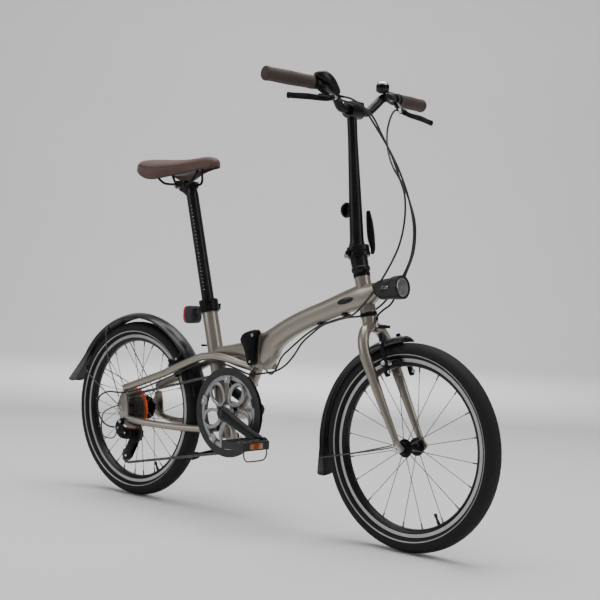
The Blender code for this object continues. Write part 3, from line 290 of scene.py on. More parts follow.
# %% Rubber, leather, lenses and lights
def tyre_rubber():
    """Rubber with a matt bloom: dusty grey in soft patches, over a fine grain."""
    f = Finish("tyre_rubber", Specular_IOR_Level=0.28)
    grain = f.noise(1400.0, 4.0, 0.7)
    bloom = f.noise(14.0, 6.0, 0.7)
    colour = f.mix((0.8 * bloom + 0.3 * grain).clamped(), (0.0045, 0.0045, 0.005), (0.013, 0.0128, 0.0128))
    return f.wear(colour=colour, roughness=0.62 + 0.22 * bloom, normal=f.bump(grain, 0.22, 0.0005))


def grip_rubber():
    """Soft brown rubber with a fine diamond pattern pressed into it."""
    f = Finish("grip_rubber", IOR=1.5)
    x, y, z = f.parts()
    diamonds = (abs((900.0 * (x + y)).sine()) * abs((900.0 * (y - x + z)).sine())).clamped()
    worn = f.noise(50.0, 4.0, 0.6)
    colour = f.mix((0.55 * diamonds + 0.5 * worn).clamped(), (0.02, 0.0115, 0.0085), (0.066, 0.039, 0.029))
    return f.wear(colour=colour, roughness=0.5 + 0.25 * worn, normal=f.bump(diamonds, 0.45, 0.0006))


def leatherette():
    """Brown synthetic leather: pebbles of two sizes with creases between them, the creases also painted darker as
    painted shade, and soft patches that are warmer and shinier.
    """
    f = Finish("leatherette", IOR=1.5, Sheen_Weight=0.15, Sheen_Roughness=0.4)
    pebbles = f.cells(620.0, f.place, "F1")
    creases = f.node("ShaderNodeTexVoronoi", {"feature": "DISTANCE_TO_EDGE"},
                     {"Vector": f.place, "Scale": 380.0})
    fine = f.noise(2200.0, 4.0, 0.65)
    cloud = f.noise(19.0, 4.0, 0.6)
    # This mask is near 0 in the creases: it sinks them in the bumps, and also darkens them in the colour, which is
    # painted shade in the creases.
    crease_depth_and_shade = creases.step(0.07, 0.12)
    colour = f.mix((0.3 * crease_depth_and_shade + 0.55 * cloud + 0.15 * fine).clamped(), (0.032, 0.0135, 0.0098),
                   (0.11, 0.049, 0.034))
    return f.wear(colour=colour, roughness=0.6 - 0.2 * cloud + 0.1 * pebbles,
                  normal=f.bump(0.7 * crease_depth_and_shade + 0.2 * fine - 0.3 * pebbles, 0.38, 0.0005))


def lens_plastic(name, deep, bright, metallic=0.0):
    """A coloured lens with rows of small prisms inside it."""
    f = Finish(name, Coat_Weight=1.0, Coat_Roughness=0.03, Metallic=metallic)
    x, y, z = f.parts()
    prisms = ((1500.0 * y).sine() * (1500.0 * z).sine() + 0.4 * (1500.0 * x).sine()).clamped()
    haze = f.noise(80.0, 3.0)
    return f.wear(colour=f.mix((0.7 * prisms + 0.25 * haze).clamped(), deep, bright),
                  roughness=0.12 + 0.1 * haze, normal=f.bump(prisms, 0.25, 0.0006))


def reflective():
    """Reflective tape on the tyres: silver grey, made of tiny beads."""
    f = Finish("reflective_band", Metallic=0.35)
    beads = f.cells(3000.0)
    dirt = f.noise(30.0, 5.0, 0.7)
    colour = f.mix((0.5 * beads + 0.6 * dirt).clamped(), (0.5, 0.5, 0.48), (0.24, 0.24, 0.23))
    return f.wear(colour=colour, roughness=0.32 + 0.2 * dirt, normal=f.bump(beads, 0.15, 0.0002))


def cable_skin():
    """Black cable housing: satin plastic drawn over a wire coil, whose turns just show."""
    f = Finish("cable_housing", IOR=1.5)
    coil = f.noise(1000.0, 2.0, 0.4)
    cloud = f.noise(25.0, 3.0)
    colour = f.mix(cloud, (0.004, 0.004, 0.0045), (0.012, 0.012, 0.0125))
    return f.wear(colour=colour, roughness=0.34 + 0.2 * cloud, normal=f.bump(coil, 0.08, 0.0003))


def floor_paint():
    """Pale studio floor: faint clouds and a very fine grain."""
    f = Finish("floor", Specular_IOR_Level=0.2)
    cloud = f.noise(0.8, 4.0)
    grain = f.noise(300.0, 3.0)
    colour = f.mix((0.7 * cloud + 0.2 * grain).clamped(), (0.7, 0.7, 0.7), (0.76, 0.76, 0.76))
    return f.wear(colour=colour, roughness=0.62 + 0.15 * cloud, normal=f.bump(grain, 0.02, 0.0005))


PAINT = champagne()
BLACK = alloy("black_alloy", (0.006, 0.006, 0.007), (0.022, 0.022, 0.024), 0.36)
SATIN = alloy("black_satin", (0.006, 0.006, 0.007), (0.018, 0.018, 0.02), 0.27, 900.0, 0.6)
GREY = alloy("grey_alloy", (0.25, 0.252, 0.26), (0.43, 0.432, 0.44), 0.36)
GLOSS = gloss_black()
PLASTIC = pebbled("black_plastic", (0.0045, 0.0045, 0.005), (0.0145, 0.0145, 0.015))
PALE = pebbled("pale_plastic", (0.2, 0.2, 0.21), (0.34, 0.34, 0.35), 0.4, 1800.0)
SPRAY = pebbled("light_marking", (0.42, 0.42, 0.41), (0.62, 0.62, 0.6), 0.5, 2400.0)
STEEL = steel("bright_steel", (0.52, 0.52, 0.54), (0.78, 0.78, 0.8), 0.16)
COG = steel("sprocket_steel", (0.17, 0.165, 0.155), (0.36, 0.35, 0.33), 0.3)
DARK = steel("dark_steel", (0.065, 0.064, 0.062), (0.15, 0.146, 0.14), 0.34)
TRACK = steel("brake_track", (0.36, 0.36, 0.37), (0.52, 0.52, 0.53), 0.3)
RUBBER = tyre_rubber()
GRIP = grip_rubber()
LEATHER = leatherette()
ORANGE = pebbled("orange_plastic", (0.72, 0.065, 0.012), (0.92, 0.14, 0.03), 0.42, 1500.0)
AMBER = lens_plastic("amber_lens", (0.24, 0.045, 0.004), (0.62, 0.17, 0.02))
RED = lens_plastic("red_lens", (0.3, 0.004, 0.004), (0.78, 0.02, 0.018))
CLEAR = lens_plastic("clear_lens", (0.045, 0.047, 0.05), (0.34, 0.35, 0.36), 0.5)
TAPE = reflective()
CABLE = cable_skin()
print("finishes:", len(bpy.data.materials))

# %% [markdown]
# ## Surfaces from formulas
# Every new piece is made from a few kinds of surface. Points are computed as whole numpy arrays: a surface is an
# array of rings, and each ring an array of points. `skin` then joins neighbouring rings with quads. Turned parts,
# bent tubes, plates and rows of equal bars are all rings, so one function makes all their faces.

# %% Rings, skins and corners
ACROSS, UP, AHEAD = np.array([0.0, 1.0, 0.0]), np.array([0.0, 0.0, 1.0]), np.array([1.0, 0.0, 0.0])


def unit(v):
    v = np.asarray(v, float)
    return v / np.linalg.norm(v, axis=-1, keepdims=True)


def curve(rows, count):
    """Catmull-Rom curve: b + t/2 (c - a + t (2a - 5b + 4c - d + t (3(b - c) + d - a))) between rows b and c."""
    rows = np.asarray(rows, float)
    padded = np.vstack([rows[:1], rows, rows[-1:]])
    place = np.linspace(0.0, len(rows) - 1.0, count)
    span = np.minimum(place.astype(int), len(rows) - 2)
    t = (place - span)[:, None]
    a, b, c, d = (padded[span + k] for k in range(4))
    return b + 0.5 * t * (c - a + t * (2 * a - 5 * b + 4 * c - d + t * (3 * (b - c) + d - a)))


def rounded(corners, radius, steps=3, closed=True):
    """Each corner B becomes (1-t)^2 A + 2t(1-t) B + t^2 C, where A and C lie a radius away along its two edges."""
    corners = np.asarray(corners, float)
    before, after = np.roll(corners, 1, axis=0), np.roll(corners, -1, axis=0)
    if not closed:
        before[0], after[-1] = corners[0], corners[-1]

    def step_to(other):
        gap = other - corners
        length = np.linalg.norm(gap, axis=1, keepdims=True)
        return corners + gap / np.maximum(length, 1e-9) * np.minimum(radius, 0.45 * length)

    a, c, t = step_to(before)[:, None], step_to(after)[:, None], np.linspace(0.0, 1.0, steps + 1)[None, :,
                                                                                                  None]
    return ((1 - t) ** 2 * a + 2 * t * (1 - t) * corners[:, None] + t ** 2 * c).reshape(-1, corners.shape[1])


def skin(rings, loop=False, flat=False):
    """Quads between neighbouring rings. The two ends close in a fan about their middle, as one flat face, or,
    in a loop, on each other."""
    rows, columns = rings.shape[:2]
    r, c = (m.ravel() for m in np.meshgrid(np.arange(rows if loop else rows - 1), np.arange(columns),
                                           indexing="ij"))
    r2, c2 = (r + 1) % rows, (c + 1) % columns
    faces = np.stack([r * columns + c, r * columns + c2, r2 * columns + c2, r2 * columns + c],
                     axis=1).tolist()
    points, c = rings.reshape(-1, 3), np.arange(columns)
    last = (rows - 1) * columns
    if flat:
        faces += [c[::-1].tolist(), (c + last).tolist()]
    elif not loop:
        middle = np.full(columns, len(points))
        faces += np.stack([(c + 1) % columns, c, middle], axis=1).tolist()
        faces += np.stack([last + c, last + (c + 1) % columns, middle + 1], axis=1).tolist()
        points = np.vstack([points, rings[0].mean(axis=0), rings[-1].mean(axis=0)])
    return points, faces


def frame_of(along):
    """Two unit vectors at right angles to a direction, the first as upright as it can be."""
    along = unit(along)
    first = UP - along * along[2]
    if np.linalg.norm(first) < 0.1:
        first = AHEAD - along * along[0]
    first = unit(first)
    return first, np.cross(along, first)


# %% Turned parts, tubes and plates
def lathe(profile, start, along, sides=64, loop=False, soft=0.0006):
    """(radius, distance) points turned about an axis: start + along d + r (first cos a + second sin a).
    The radius may be a row per angle, which gives teeth."""
    if soft:
        profile = rounded(profile, soft, 3, loop)
    profile = np.asarray(profile, float)
    first, second = frame_of(along)
    a = np.linspace(0.0, 2 * np.pi, sides, endpoint=False)
    ring = np.cos(a)[:, None] * first + np.sin(a)[:, None] * second
    return skin(np.asarray(start) + profile[:, 1, None, None] * unit(along) + profile[:, 0, None,
                                                                                      None] * ring, loop)


def gear(centre, root, tip, teeth, low, high, hole):
    """A toothed wheel: radius root + (tip - root) s, where s is a flattened sine of teeth times the angle."""
    a = np.linspace(0.0, 2 * np.pi, teeth * 8, endpoint=False)
    wave = np.clip(0.5 + 0.95 * np.sin(teeth * a), 0.0, 1.0) ** 0.8
    radius = root + (tip - root) * wave
    rings = [np.stack([centre[0] + r * np.cos(a), centre[1] + y + 0 * a, centre[2] + r * np.sin(a)], axis=1)
             for r, y in ((hole, low), (radius - 0.0004, low), (radius, 0.7 * low + 0.3 * high),
                          (radius, 0.3 * low + 0.7 * high), (radius - 0.0004, high), (hole, high))]
    return skin(np.array(rings), loop=True)


def tube(rows, side=ACROSS, count=None, power=2.0, sides=32, dome=0.0, ripple=None):
    """A section w |cos a|^(2/power), h |sin a|^(2/power) carried along rows of (x, y, z, w, h); w lies along side.
    With a dome, each end closes over a quarter circle of that length. A ripple swells the section by a share
    that depends on the place along the tube."""
    rows = curve(rows, count) if count else np.asarray(rows, float)
    along = unit(np.gradient(rows[:, :3], axis=0))
    if dome:
        turn = np.radians([80.0, 60.0, 38.0, 18.0])[:, None]
        grow = np.cos(turn)
        first = np.hstack([rows[0, :3] - along[0] * dome * np.sin(turn), rows[0, 3:] * grow])
        final = np.hstack([rows[-1, :3] + along[-1] * dome * np.sin(turn), rows[-1, 3:] * grow])[::-1]
        rows = np.vstack([first, rows, final])
        along = np.vstack([np.repeat(along[:1], 4, axis=0), along, np.repeat(along[-1:], 4, axis=0)])
    wide = unit(side - along * (along @ side)[:, None])
    high = np.cross(along, wide)
    a = (np.arange(sides) + 0.5) * 2 * np.pi / sides
    w = np.sign(np.cos(a)) * np.abs(np.cos(a)) ** (2 / power)
    h = np.sign(np.sin(a)) * np.abs(np.sin(a)) ** (2 / power)
    swell = 1.0 if ripple is None else (1.0 + ripple(np.linspace(0.0, 1.0, len(rows))))[:, None, None]
    rings = rows[:, None, :3] + swell * (wide[:, None] * (w[None] * rows[:, 3, None])[..., None]
                                         + high[:, None] * (h[None] * rows[:, 4, None])[..., None])
    return skin(rings)


def pipe(points, radius, count=None, side=ACROSS, sides=20, dome=0.0):
    """A round tube along points."""
    points = np.asarray(points, float)
    return tube(np.hstack([points, np.full((len(points), 2), radius)]), side, count, 2.0, sides, dome)


def plate(outline, low, high, axes=None, edge=0.0008, corner=0.003):
    """A plate: its outline, drawn in on both faces by the bevel along the outline's own normals."""
    origin, u, v, n = axes or (np.zeros(3), AHEAD, UP, ACROSS)
    outline = rounded(outline, corner, 4) if corner else np.asarray(outline, float)
    tangent = unit(np.roll(outline, -1, axis=0) - np.roll(outline, 1, axis=0))
    normal = np.stack([tangent[:, 1], -tangent[:, 0]], axis=1)
    x, y = outline.T
    normal *= np.sign(np.sum(x * np.roll(y, -1) - y * np.roll(x, -1)))
    rings = [np.asarray(origin) + (outline - normal * inset) @ np.stack([u, v]) + np.asarray(n) * d
             for inset, d in ((edge, low), (0.3 * edge, low + 0.3 * edge), (0.0, low + edge),
                              (0.0, high - edge),
                              (0.3 * edge, high - 0.3 * edge), (edge, high))]
    return skin(np.array(rings), flat=True)


def block(centre, half, axes=None, corner=0.002, edge=0.0008):
    """A box with rounded corners and bevelled edges."""
    u, v, n = axes or (AHEAD, UP, ACROSS)
    a, b = half[0], half[1]
    return plate([(-a, -b), (a, -b), (a, b), (-a, b)], -half[2], half[2], (np.asarray(centre), u, v, n), edge,
                 corner)


def bars(starts, ends, profile, sides=8):
    """Many equal turned bars at once: each ring lies at start + share (end - start), with the profile's radius."""
    starts, ends = np.atleast_2d(starts).astype(float), np.atleast_2d(ends).astype(float)
    along = unit(ends - starts)
    helper = np.where(np.abs(along[:, 2:3]) > 0.9, AHEAD, UP)
    first = unit(np.cross(along, helper))
    second = np.cross(along, first)
    radius, share = np.asarray(profile, float).T
    a = np.linspace(0.0, 2 * np.pi, sides, endpoint=False)
    ring = np.cos(a)[None, :, None] * first[:, None] + np.sin(a)[None, :, None] * second[:, None]
    centre = starts[:, None] + share[None, :, None] * (ends - starts)[:, None]
    rings = centre[:, :, None] + radius[None, :, None, None] * ring[:, None]
    return joined([skin(one) for one in rings])


def joined(parts):
    """Several surfaces as one."""
    offsets = np.cumsum([0] + [len(points) for points, _ in parts])
    faces = [[k + int(start) for k in face] for (_, many), start in zip(parts, offsets) for face in many]
    return np.vstack([points for points, _ in parts]), faces


def mirrored(part):
    """The same surface on the bicycle's other side, with its faces turned back outwards."""
    points, faces = part
    return points * np.array([1.0, -1.0, 1.0]), [face[::-1] for face in faces]


def both(part):
    return joined([part, mirrored(part)])


def bolt(place, direction, radius=0.0035, height=0.003):
    """A socket screw's head: a turned cap with a hollow in its top."""
    profile = [(radius, 0.0), (radius, height), (0.55 * radius, height), (0.5 * radius, 0.4 * height)]
    return lathe(profile, place, direction, 18, soft=0.0003)


def nut(place, direction, radius=0.0085, height=0.006):
    """A hexagon nut on its washer, chamfered at the top."""
    hexagon = lathe([(radius, 0.0006), (radius, height - 0.001), (0.86 * radius, height),
                     (0.4 * radius, height)],
                    place, direction, 6, soft=0.0)
    return joined([hexagon, lathe([(radius * 1.15, 0.0), (radius * 1.15, 0.0009)], place, direction, 32,
                                  soft=0.0003)])


def piece(name, body, finish, parts, nodes=(), angle=38.0):
    """One finished object from several surfaces: its faces turned outwards, its smooth edges shaded smooth, its
    finish on it, its place on a CAD body, and the CAD nodes that it stands for."""
    points, faces = joined(parts)
    mesh = bpy.data.meshes.new(name)
    mesh.from_pydata((points + SHIFT).tolist(), [], faces)
    shape = bmesh.new()
    shape.from_mesh(mesh)
    bmesh.ops.recalc_face_normals(shape, faces=shape.faces)
    shape.to_mesh(mesh)
    shape.free()
    mesh.shade_smooth()
    mesh.set_sharp_from_angle(angle=math.radians(angle))
    mesh.materials.append(finish)
    made = bpy.data.objects.new(name, mesh)
    bpy.context.scene.collection.objects.link(made)
    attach(made, body)
    if nodes:
        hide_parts(*nodes)
    PIECES.append((name, len(faces)))
    return made


PIECES = []

# %% [markdown]
# ## The wheels
# A 20 inch tyre is a vulcanised rubber ring with a round tread and grooves. The grooves have to be real here,
# because they break the outline against the floor. So the tyre is a turned surface whose radius drops by under a
# millimetre wherever a groove runs: one groove round the middle, and slanted ones on both shoulders.

# %% Tyres with their tread
TYRE = [(0.2135, 0.0118), (0.2165, 0.0165), (0.221, 0.0208), (0.2265, 0.0232), (0.2315, 0.0234),
        (0.2365, 0.0221),
        (0.2415, 0.019), (0.246, 0.0137), (0.2488, 0.0072), (0.2498, 0.0)]
TYRE = TYRE + [(r, -d) for r, d in TYRE[-2::-1]]


def tyre(hub, sides=640, across=72):
    """A tube turned about the hub, with radius R(v) - 0.0009 g(a, v); g is near 1 in the middle groove, and where
    sin(46 a + slant |y|) is high on the shoulders."""
    section = curve(TYRE, across)
    a = np.linspace(0.0, 2 * np.pi, sides, endpoint=False)[None, :]
    r, y = section[:, 0][:, None], section[:, 1][:, None]
    tread = np.clip((r - 0.238) / 0.0035, 0.0, 1.0)
    middle = np.exp(-(y / 0.0011) ** 2)
    slanted = np.clip(4.0 * (np.sin(46 * a + 420.0 * np.abs(y) + 0.6 * np.sign(y)) - 0.72), 0.0, 1.0)
    slanted = slanted * np.clip((np.abs(y) - 0.004) / 0.0015, 0.0, 1.0)
    fine = np.clip(4.0 * (np.sin(138 * a) - 0.78), 0.0, 1.0) * np.exp(-((np.abs(y) - 0.0028) / 0.0011) ** 2)
    ribs = 0.00018 * np.sin(2 * np.pi * (r - 0.2135) / 0.0021) * (r < 0.236) * (r > 0.224)
    radius = r - 0.0009 * tread * np.clip(middle + slanted + 0.6 * fine, 0.0, 1.0)
    rings = np.stack([hub[0] + radius * np.cos(a), hub[1] + (y + np.sign(y) * ribs) + 0 * a,
                      hub[2] + radius * np.sin(a)], axis=-1)
    return skin(rings, loop=True)


RIM = [(0.214, 0.0118), (0.214, 0.0122), (0.212, 0.0124), (0.2025, 0.0124), (0.2005, 0.012), (0.196, 0.01),
       (0.1935, 0.006), (0.193, 0.0)]
RIM = RIM + [(r, -d) for r, d in RIM[-2::-1]] + [(0.208, -0.0105), (0.205, 0.0), (0.208, 0.0105)]
for name, hub in (("front", FRONT_HUB), ("rear", REAR_HUB)):
    piece(f"{name}_tyre_rubber", f"{name}_wheel", RUBBER, [tyre(hub)], (f"{name}_tyre",))
    band = [(0.2208, 0.021), (0.2232, 0.0222), (0.223, 0.0216), (0.2206, 0.0204)]
    piece(f"{name}_reflective_bands", f"{name}_wheel", TAPE, [both(lathe(band, hub, ACROSS, 200, True, 0.0))])
    piece(f"{name}_rim_hoop", f"{name}_wheel", SATIN, [lathe(RIM, hub, ACROSS, 240, True, 0.0008)],
          (f"{name}_rim",))
    track = [(0.2122, 0.0122), (0.2122, 0.0126), (0.204, 0.0126), (0.204, 0.0122)]
    piece(f"{name}_brake_tracks", f"{name}_wheel", TRACK,
          [both(lathe(track, hub, ACROSS, 200, True, 0.0002))])
print("wheel pieces so far:", len(PIECES))

# %% [markdown]
# Spokes are drawn steel wire, with a bend at the hub and a threaded brass nipple at the rim. The front wheel has
# 20 that run straight out, because a rim brake puts no twist on the hub. The rear has 28 that cross, because
# the chain turns the rim through them.

# %% Spokes, nipples, hubs and valves
def spoke_ends(hub, count, flanges, flange_radius, lead):
    """Inner and outer ends of every spoke, as two arrays."""
    k = np.arange(count)
    turn = 2 * np.pi * (k + 0.25) / count
    side = np.where(k % 2 == 0, flanges[0], flanges[1])
    twist = np.where((k // 2) % 2 == 1, lead, -lead)
    inner_side = side + (np.copysign(0.0026, twist) if lead else 0.0)
    inner = np.stack([np.sin(turn + twist) * flange_radius, inner_side, np.cos(turn + twist) * flange_radius],
                     axis=1)
    outer = np.stack([np.sin(turn) * 0.1925, np.copysign(0.002, side), np.cos(turn) * 0.1925], axis=1)
    return hub + inner, hub + outer


def valve(hub, angle):
    """The valve: a rubber-coated stem with a ribbed cap, pointing from the rim to the hub."""
    out = np.array([math.cos(angle), 0.0, math.sin(angle)])
    profile = [(0.004, 0.0), (0.004, 0.01), (0.003, 0.012), (0.003, 0.019), (0.004, 0.0195), (0.004, 0.027),
               (0.0032, 0.0285)]
    return lathe(profile, hub + out * 0.1945, -out, 20, soft=0.0004)


FLANGES = {"front": (20, (0.0235, -0.0235), 0.0205, 0.0),
           "rear": (28, (0.0315, -0.016), 0.0315, math.radians(60.0))}
WIRE = [(0.0013, 0.0), (0.001, 0.02), (0.0009, 0.1), (0.0009, 0.93), (0.001, 1.0)]
NIPPLE = [(0.0013, 0.925), (0.0018, 0.93), (0.0018, 0.985), (0.0024, 0.99), (0.0024, 1.0)]
for name, hub in (("front", FRONT_HUB), ("rear", REAR_HUB)):
    inner, outer = spoke_ends(hub, *FLANGES[name])
    piece(f"{name}_spoke_wires", f"{name}_wheel", DARK, [bars(inner, outer, WIRE, 10)], (f"{name}_spokes",))
    piece(f"{name}_nipples", f"{name}_wheel", DARK, [bars(inner, outer, NIPPLE, 8)])
    piece(f"{name}_valve", f"{name}_wheel", PLASTIC, [valve(hub, math.radians(-62.0))])

FRONT_BODY = [(0.0058, -0.034), (0.012, -0.034), (0.0145, -0.032), (0.0145, -0.027), (0.0205, -0.0256),
              (0.0225, -0.0235), (0.0205, -0.0214), (0.013, -0.019), (0.0105, -0.012), (0.0102, 0.0)]
FRONT_BODY = FRONT_BODY + [(r, -d) for r, d in FRONT_BODY[-2::-1]]
REAR_BODY = [(0.0058, -0.0195), (0.031, -0.0195), (0.0338, -0.018), (0.031, -0.016), (0.019, -0.0125),
             (0.015, -0.006), (0.0145, 0.01), (0.016, 0.022), (0.03, 0.0296), (0.0338, 0.0315),
             (0.031, 0.0332),
             (0.018, 0.037), (0.014, 0.04), (0.014, 0.052), (0.0058, 0.052)]
piece("front_hub_shell", "front_wheel", BLACK, [lathe(FRONT_BODY, FRONT_HUB, ACROSS, 72, True, 0.0008)],
      ("front_hub",))
piece("rear_hub_shell", "rear_wheel", BLACK, [lathe(REAR_BODY, REAR_HUB, ACROSS, 72, True, 0.0008)],
      ("rear_hub",))


def axle(hub, half, inner, dropout, reach):
    """Threaded axle with a lock nut inside each dropout, and a hexagon nut on a washer outside it."""
    threads = np.linspace(-reach, reach, int(reach * 2 / 0.0005))
    screw = np.stack([0.0047 + 0.00022 * np.sin(2 * np.pi * threads / 0.001), threads], axis=1)
    parts = [lathe(screw, hub, ACROSS, 20, soft=0.0)]
    for s in (-1.0, 1.0):
        parts += [lathe([(0.008, half), (0.008, inner)], hub, ACROSS * s, 40),
                  nut(hub + ACROSS * s * (dropout + 0.0054), ACROSS * s, 0.0086, 0.0095)]
    return joined(parts)


piece("front_axle_set", "fork", STEEL, [axle(FRONT_HUB, 0.0345, 0.0457, 0.046, 0.064)], ("front_axle",))
piece("rear_axle_set", "rear", STEEL, [axle(REAR_HUB, 0.0615, 0.0636, 0.064, 0.082)], ("rear_axle",))
a = np.linspace(0.0, 2 * np.pi, 360, endpoint=False)
guard_radius = np.stack([0.033 + 0 * a, 0.06 + 0 * a, 0.062 + 0.0006 * np.sign(np.sin(36 * a)),
                         0.062 + 0.0006 * np.sign(np.sin(36 * a)), 0.06 + 0 * a, 0.033 + 0 * a])
guard_y = np.array([-0.0226, -0.0226, -0.0223, -0.0213, -0.021, -0.021])
guard = np.stack([guard_radius * np.cos(a), guard_y[:, None] + 0 * a, guard_radius * np.sin(a)],
                 axis=-1) + REAR_HUB
piece("spoke_guard_disc", "rear_wheel", ORANGE, [skin(guard, loop=True)], ("spoke_guard",))

# %% [markdown]
# ## The drivetrain
# One chainring drives seven sprockets. A toothed wheel is a turned disc whose radius rises and falls once for
# each tooth. The chain's pitch is half an inch, so a wheel with N teeth has a pitch radius of
# 12.7 mm / (2 sin(pi/N)).
# The chainring, with 52 teeth, comes to 105.2 mm, and the 18-tooth sprocket that the chain lies on to 36.6 mm.

# %% Chainring, guards and spider
CRANK = np.array([0.4115, 0.0, 0.28])
CHAIN_Y = -0.0425
outer_guard = [(0.099, -0.0525), (0.117, -0.0525), (0.119, -0.0518), (0.119, -0.0504), (0.117, -0.0498),
               (0.101, -0.0498)]
inner_guard = [(0.099, -0.0375), (0.113, -0.0375), (0.113, -0.0352), (0.099, -0.0352)]
piece("chain_guards", "crankset", PLASTIC, [lathe(outer_guard, CRANK, ACROSS, 160, True, 0.0004),
                                            lathe(inner_guard, CRANK, ACROSS, 160, True, 0.0004)])
ring_plate = [(0.088, -0.0512), (0.1005, -0.0512), (0.1005, -0.0385), (0.088, -0.0385)]
teeth = gear(CRANK + ACROSS * CHAIN_Y, 0.1005, 0.1082, 52, -0.001, 0.001, 0.09)
arms, bolts = [], []


def window_band(turn, sides=72):
    """A band round one of the spider's windows: an oval ring, thicker at its inner end, with bevelled edges."""
    out = np.array([math.cos(turn), 0.0, math.sin(turn)])
    side = np.array([-math.sin(turn), 0.0, math.cos(turn)])
    t = np.linspace(0.0, 2 * np.pi, sides, endpoint=False)
    rings = []
    for a, b, y in ((0.0272, 0.0205, -0.0516), (0.033, 0.029, -0.0516), (0.0345, 0.0302, -0.0526),
                    (0.0345, 0.0302, -0.0564),
                    (0.0332, 0.029, -0.0575), (0.0284, 0.0216, -0.0575), (0.0272, 0.0205, -0.0564)):
        narrow = 1.0 - 0.2 * (0.5 - 0.5 * np.cos(t)) * 1.0
        reach = (0.0575 + a * np.cos(t))[:, None] * out + (b * narrow * np.sin(t))[:, None] * side
        rings.append(CRANK + reach + ACROSS * y)
    return skin(np.array(rings), loop=True)


for k in range(5):
    turn = 2 * np.pi * k / 5 + math.radians(92.0)
    out = np.array([math.cos(turn), 0.0, math.sin(turn)])
    side = np.array([-math.sin(turn), 0.0, math.cos(turn)])
    arms.append(window_band(turn + math.radians(36.0)))
    tip = [(0.078, -0.0085), (0.097, -0.013), (0.097, 0.013), (0.078, 0.0085)]
    arms.append(plate(tip, 0.0004, 0.0062, (CRANK + ACROSS * -0.0574, out, side, ACROSS), 0.001, 0.003))
    bolts.append(bolt(CRANK + out * 0.0905 + ACROSS * -0.0572, -ACROSS, 0.0048, 0.0016))
hub_boss = [(0.0225, -0.0505), (0.0215, -0.057), (0.017, -0.0618), (0.015, -0.0632)]
spindle = [(0.0085, -0.0636), (0.0085, 0.0636)]
piece("chainring_and_spider", "crankset", GREY,
      [lathe(ring_plate, CRANK, ACROSS, 160, True, 0.0005), teeth, *arms,
       lathe(hub_boss, CRANK, ACROSS, 64), lathe(spindle, CRANK, ACROSS, 32)], ("chainring",))
piece("chainring_bolts", "crankset", STEEL, bolts)


def crank_arm(side, angle):
    """A forged crank: a flattened tube, thickest at the spindle, thinning towards the pedal's eye."""
    out = np.array([math.cos(angle), 0.0, math.sin(angle)])
    rows = [(*(CRANK + out * 0.167 * t)[[0]], side * y, (CRANK + out * 0.167 * t)[2], w, h) for t, y, w, h in
            ((-0.07, 0.0715, 0.0058, 0.0125), (-0.02, 0.0715, 0.007, 0.0178), (0.06, 0.0716, 0.0073, 0.0185),
             (0.16, 0.0722, 0.0072, 0.0165), (0.5, 0.075, 0.0066, 0.0145), (0.92, 0.0775, 0.0065, 0.014),
             (1.04, 0.0775, 0.006, 0.011))]
    eye = CRANK + out * 0.167
    arm = tube(rows, ACROSS, 40, 3.2, 40, dome=0.004)
    ring = lathe([(0.0148, side * 0.0708), (0.0148, side * 0.0842)], [eye[0], 0, eye[2]], ACROSS, 40)
    return joined([arm, ring])


ANGLES = {"right": (-1.0, math.radians(-21.4)), "left": (1.0, math.radians(158.6))}
for name, (side, angle) in ANGLES.items():
    piece(f"{name}_crank_arm", "crankset", SATIN, [crank_arm(side, angle)], (f"{name}_crank",))
    cap = [(0.01, 0.0), (0.0105, 0.0015), (0.0085, 0.0026), (0.0035, 0.0028)]
    piece(f"{name}_crank_cap", "crankset", PLASTIC,
          [lathe(cap, CRANK + ACROSS * side * 0.0782, ACROSS * side, 36, soft=0.0004)])

# %% [markdown]
# The pedals are moulded platforms. Each is a frame round two bearings on a steel axle, with rows of grip teeth,
# an amber reflector set in its front and back edge, and a wire loop below that lets it fold.

# %% Pedals
def pedal(side, angle):
    """Frame bars, cross bars, teeth, axle barrel and folding wire, as black parts, steel and lenses."""
    centre = CRANK + np.array([math.cos(angle), 0.0, math.sin(angle)]) * 0.167
    x, z, s = centre[0], centre[2], side
    black, metal, lenses = [], [], []
    for dx in (-0.0335, 0.0335):
        black.append(block((x + dx, s * 0.14, z), (0.0042, 0.0112, 0.0478), corner=0.002))
        lenses.append(block((x + dx * 1.128, s * 0.14, z), (0.001, 0.007, 0.023), corner=0.0006, edge=0.0004))
        tips = np.linspace(0.096, 0.184, 12)
        for dz in (-1.0, 1.0):
            base = np.stack([x + dx + 0 * tips, s * tips, z + dz * 0.01 + 0 * tips], axis=1)
            black.append(bars(base, base + UP * dz * 0.0016, [(0.0022, 0.0), (0.0014, 1.0)], 6))
    for y in (0.0945, 0.118, 0.14, 0.162, 0.1855):
        black.append(block((x, s * y, z), (0.0345, 0.0095, 0.0024), corner=0.0015))
    black.append(lathe([(0.0105, 0.0), (0.0112, 0.012), (0.0095, 0.02), (0.0095, 0.074), (0.008, 0.08)],
                       (x, s * 0.0925, z), ACROSS * s, 36))
    metal.append(lathe([(0.0066, 0.0), (0.0066, 0.004), (0.0052, 0.0048), (0.0052, 0.01)], (x, s * 0.0846, z),
                       ACROSS * s, 28))
    front = x + 0.035
    loop = [(front, s * 0.182, z - 0.005), (front, s * 0.1805, z - 0.024), (front, s * 0.1725, z - 0.035),
            (front, s * 0.16, z - 0.0375), (front, s * 0.12, z - 0.0375), (front, s * 0.1065, z - 0.035),
            (front, s * 0.099, z - 0.024), (front, s * 0.098, z - 0.005)]
    metal.append(pipe(loop, 0.0019, 60, AHEAD, 12))
    return black, metal, lenses


for name, (side, angle) in ANGLES.items():
    black, metal, lenses = pedal(side, angle)
    body = f"{name}_foot_pedal"
    piece(f"{name}_pedal_platform", body, PLASTIC, black, (f"{name}_pedal",))
    piece(f"{name}_pedal_wire", body, DARK, metal)
    piece(f"{name}_pedal_reflectors", body, AMBER, lenses)

# %% [markdown]
# ## The chain, sprockets and derailleur
# The chain is a loop round four wheels. It is laid out as tangent lines and arcs, then cut into links of one
# pitch. Links come in two kinds that take turns: a pair of inner plates, and a pair of outer plates riveted over
# them. A real chain is stamped and riveted in the same way.

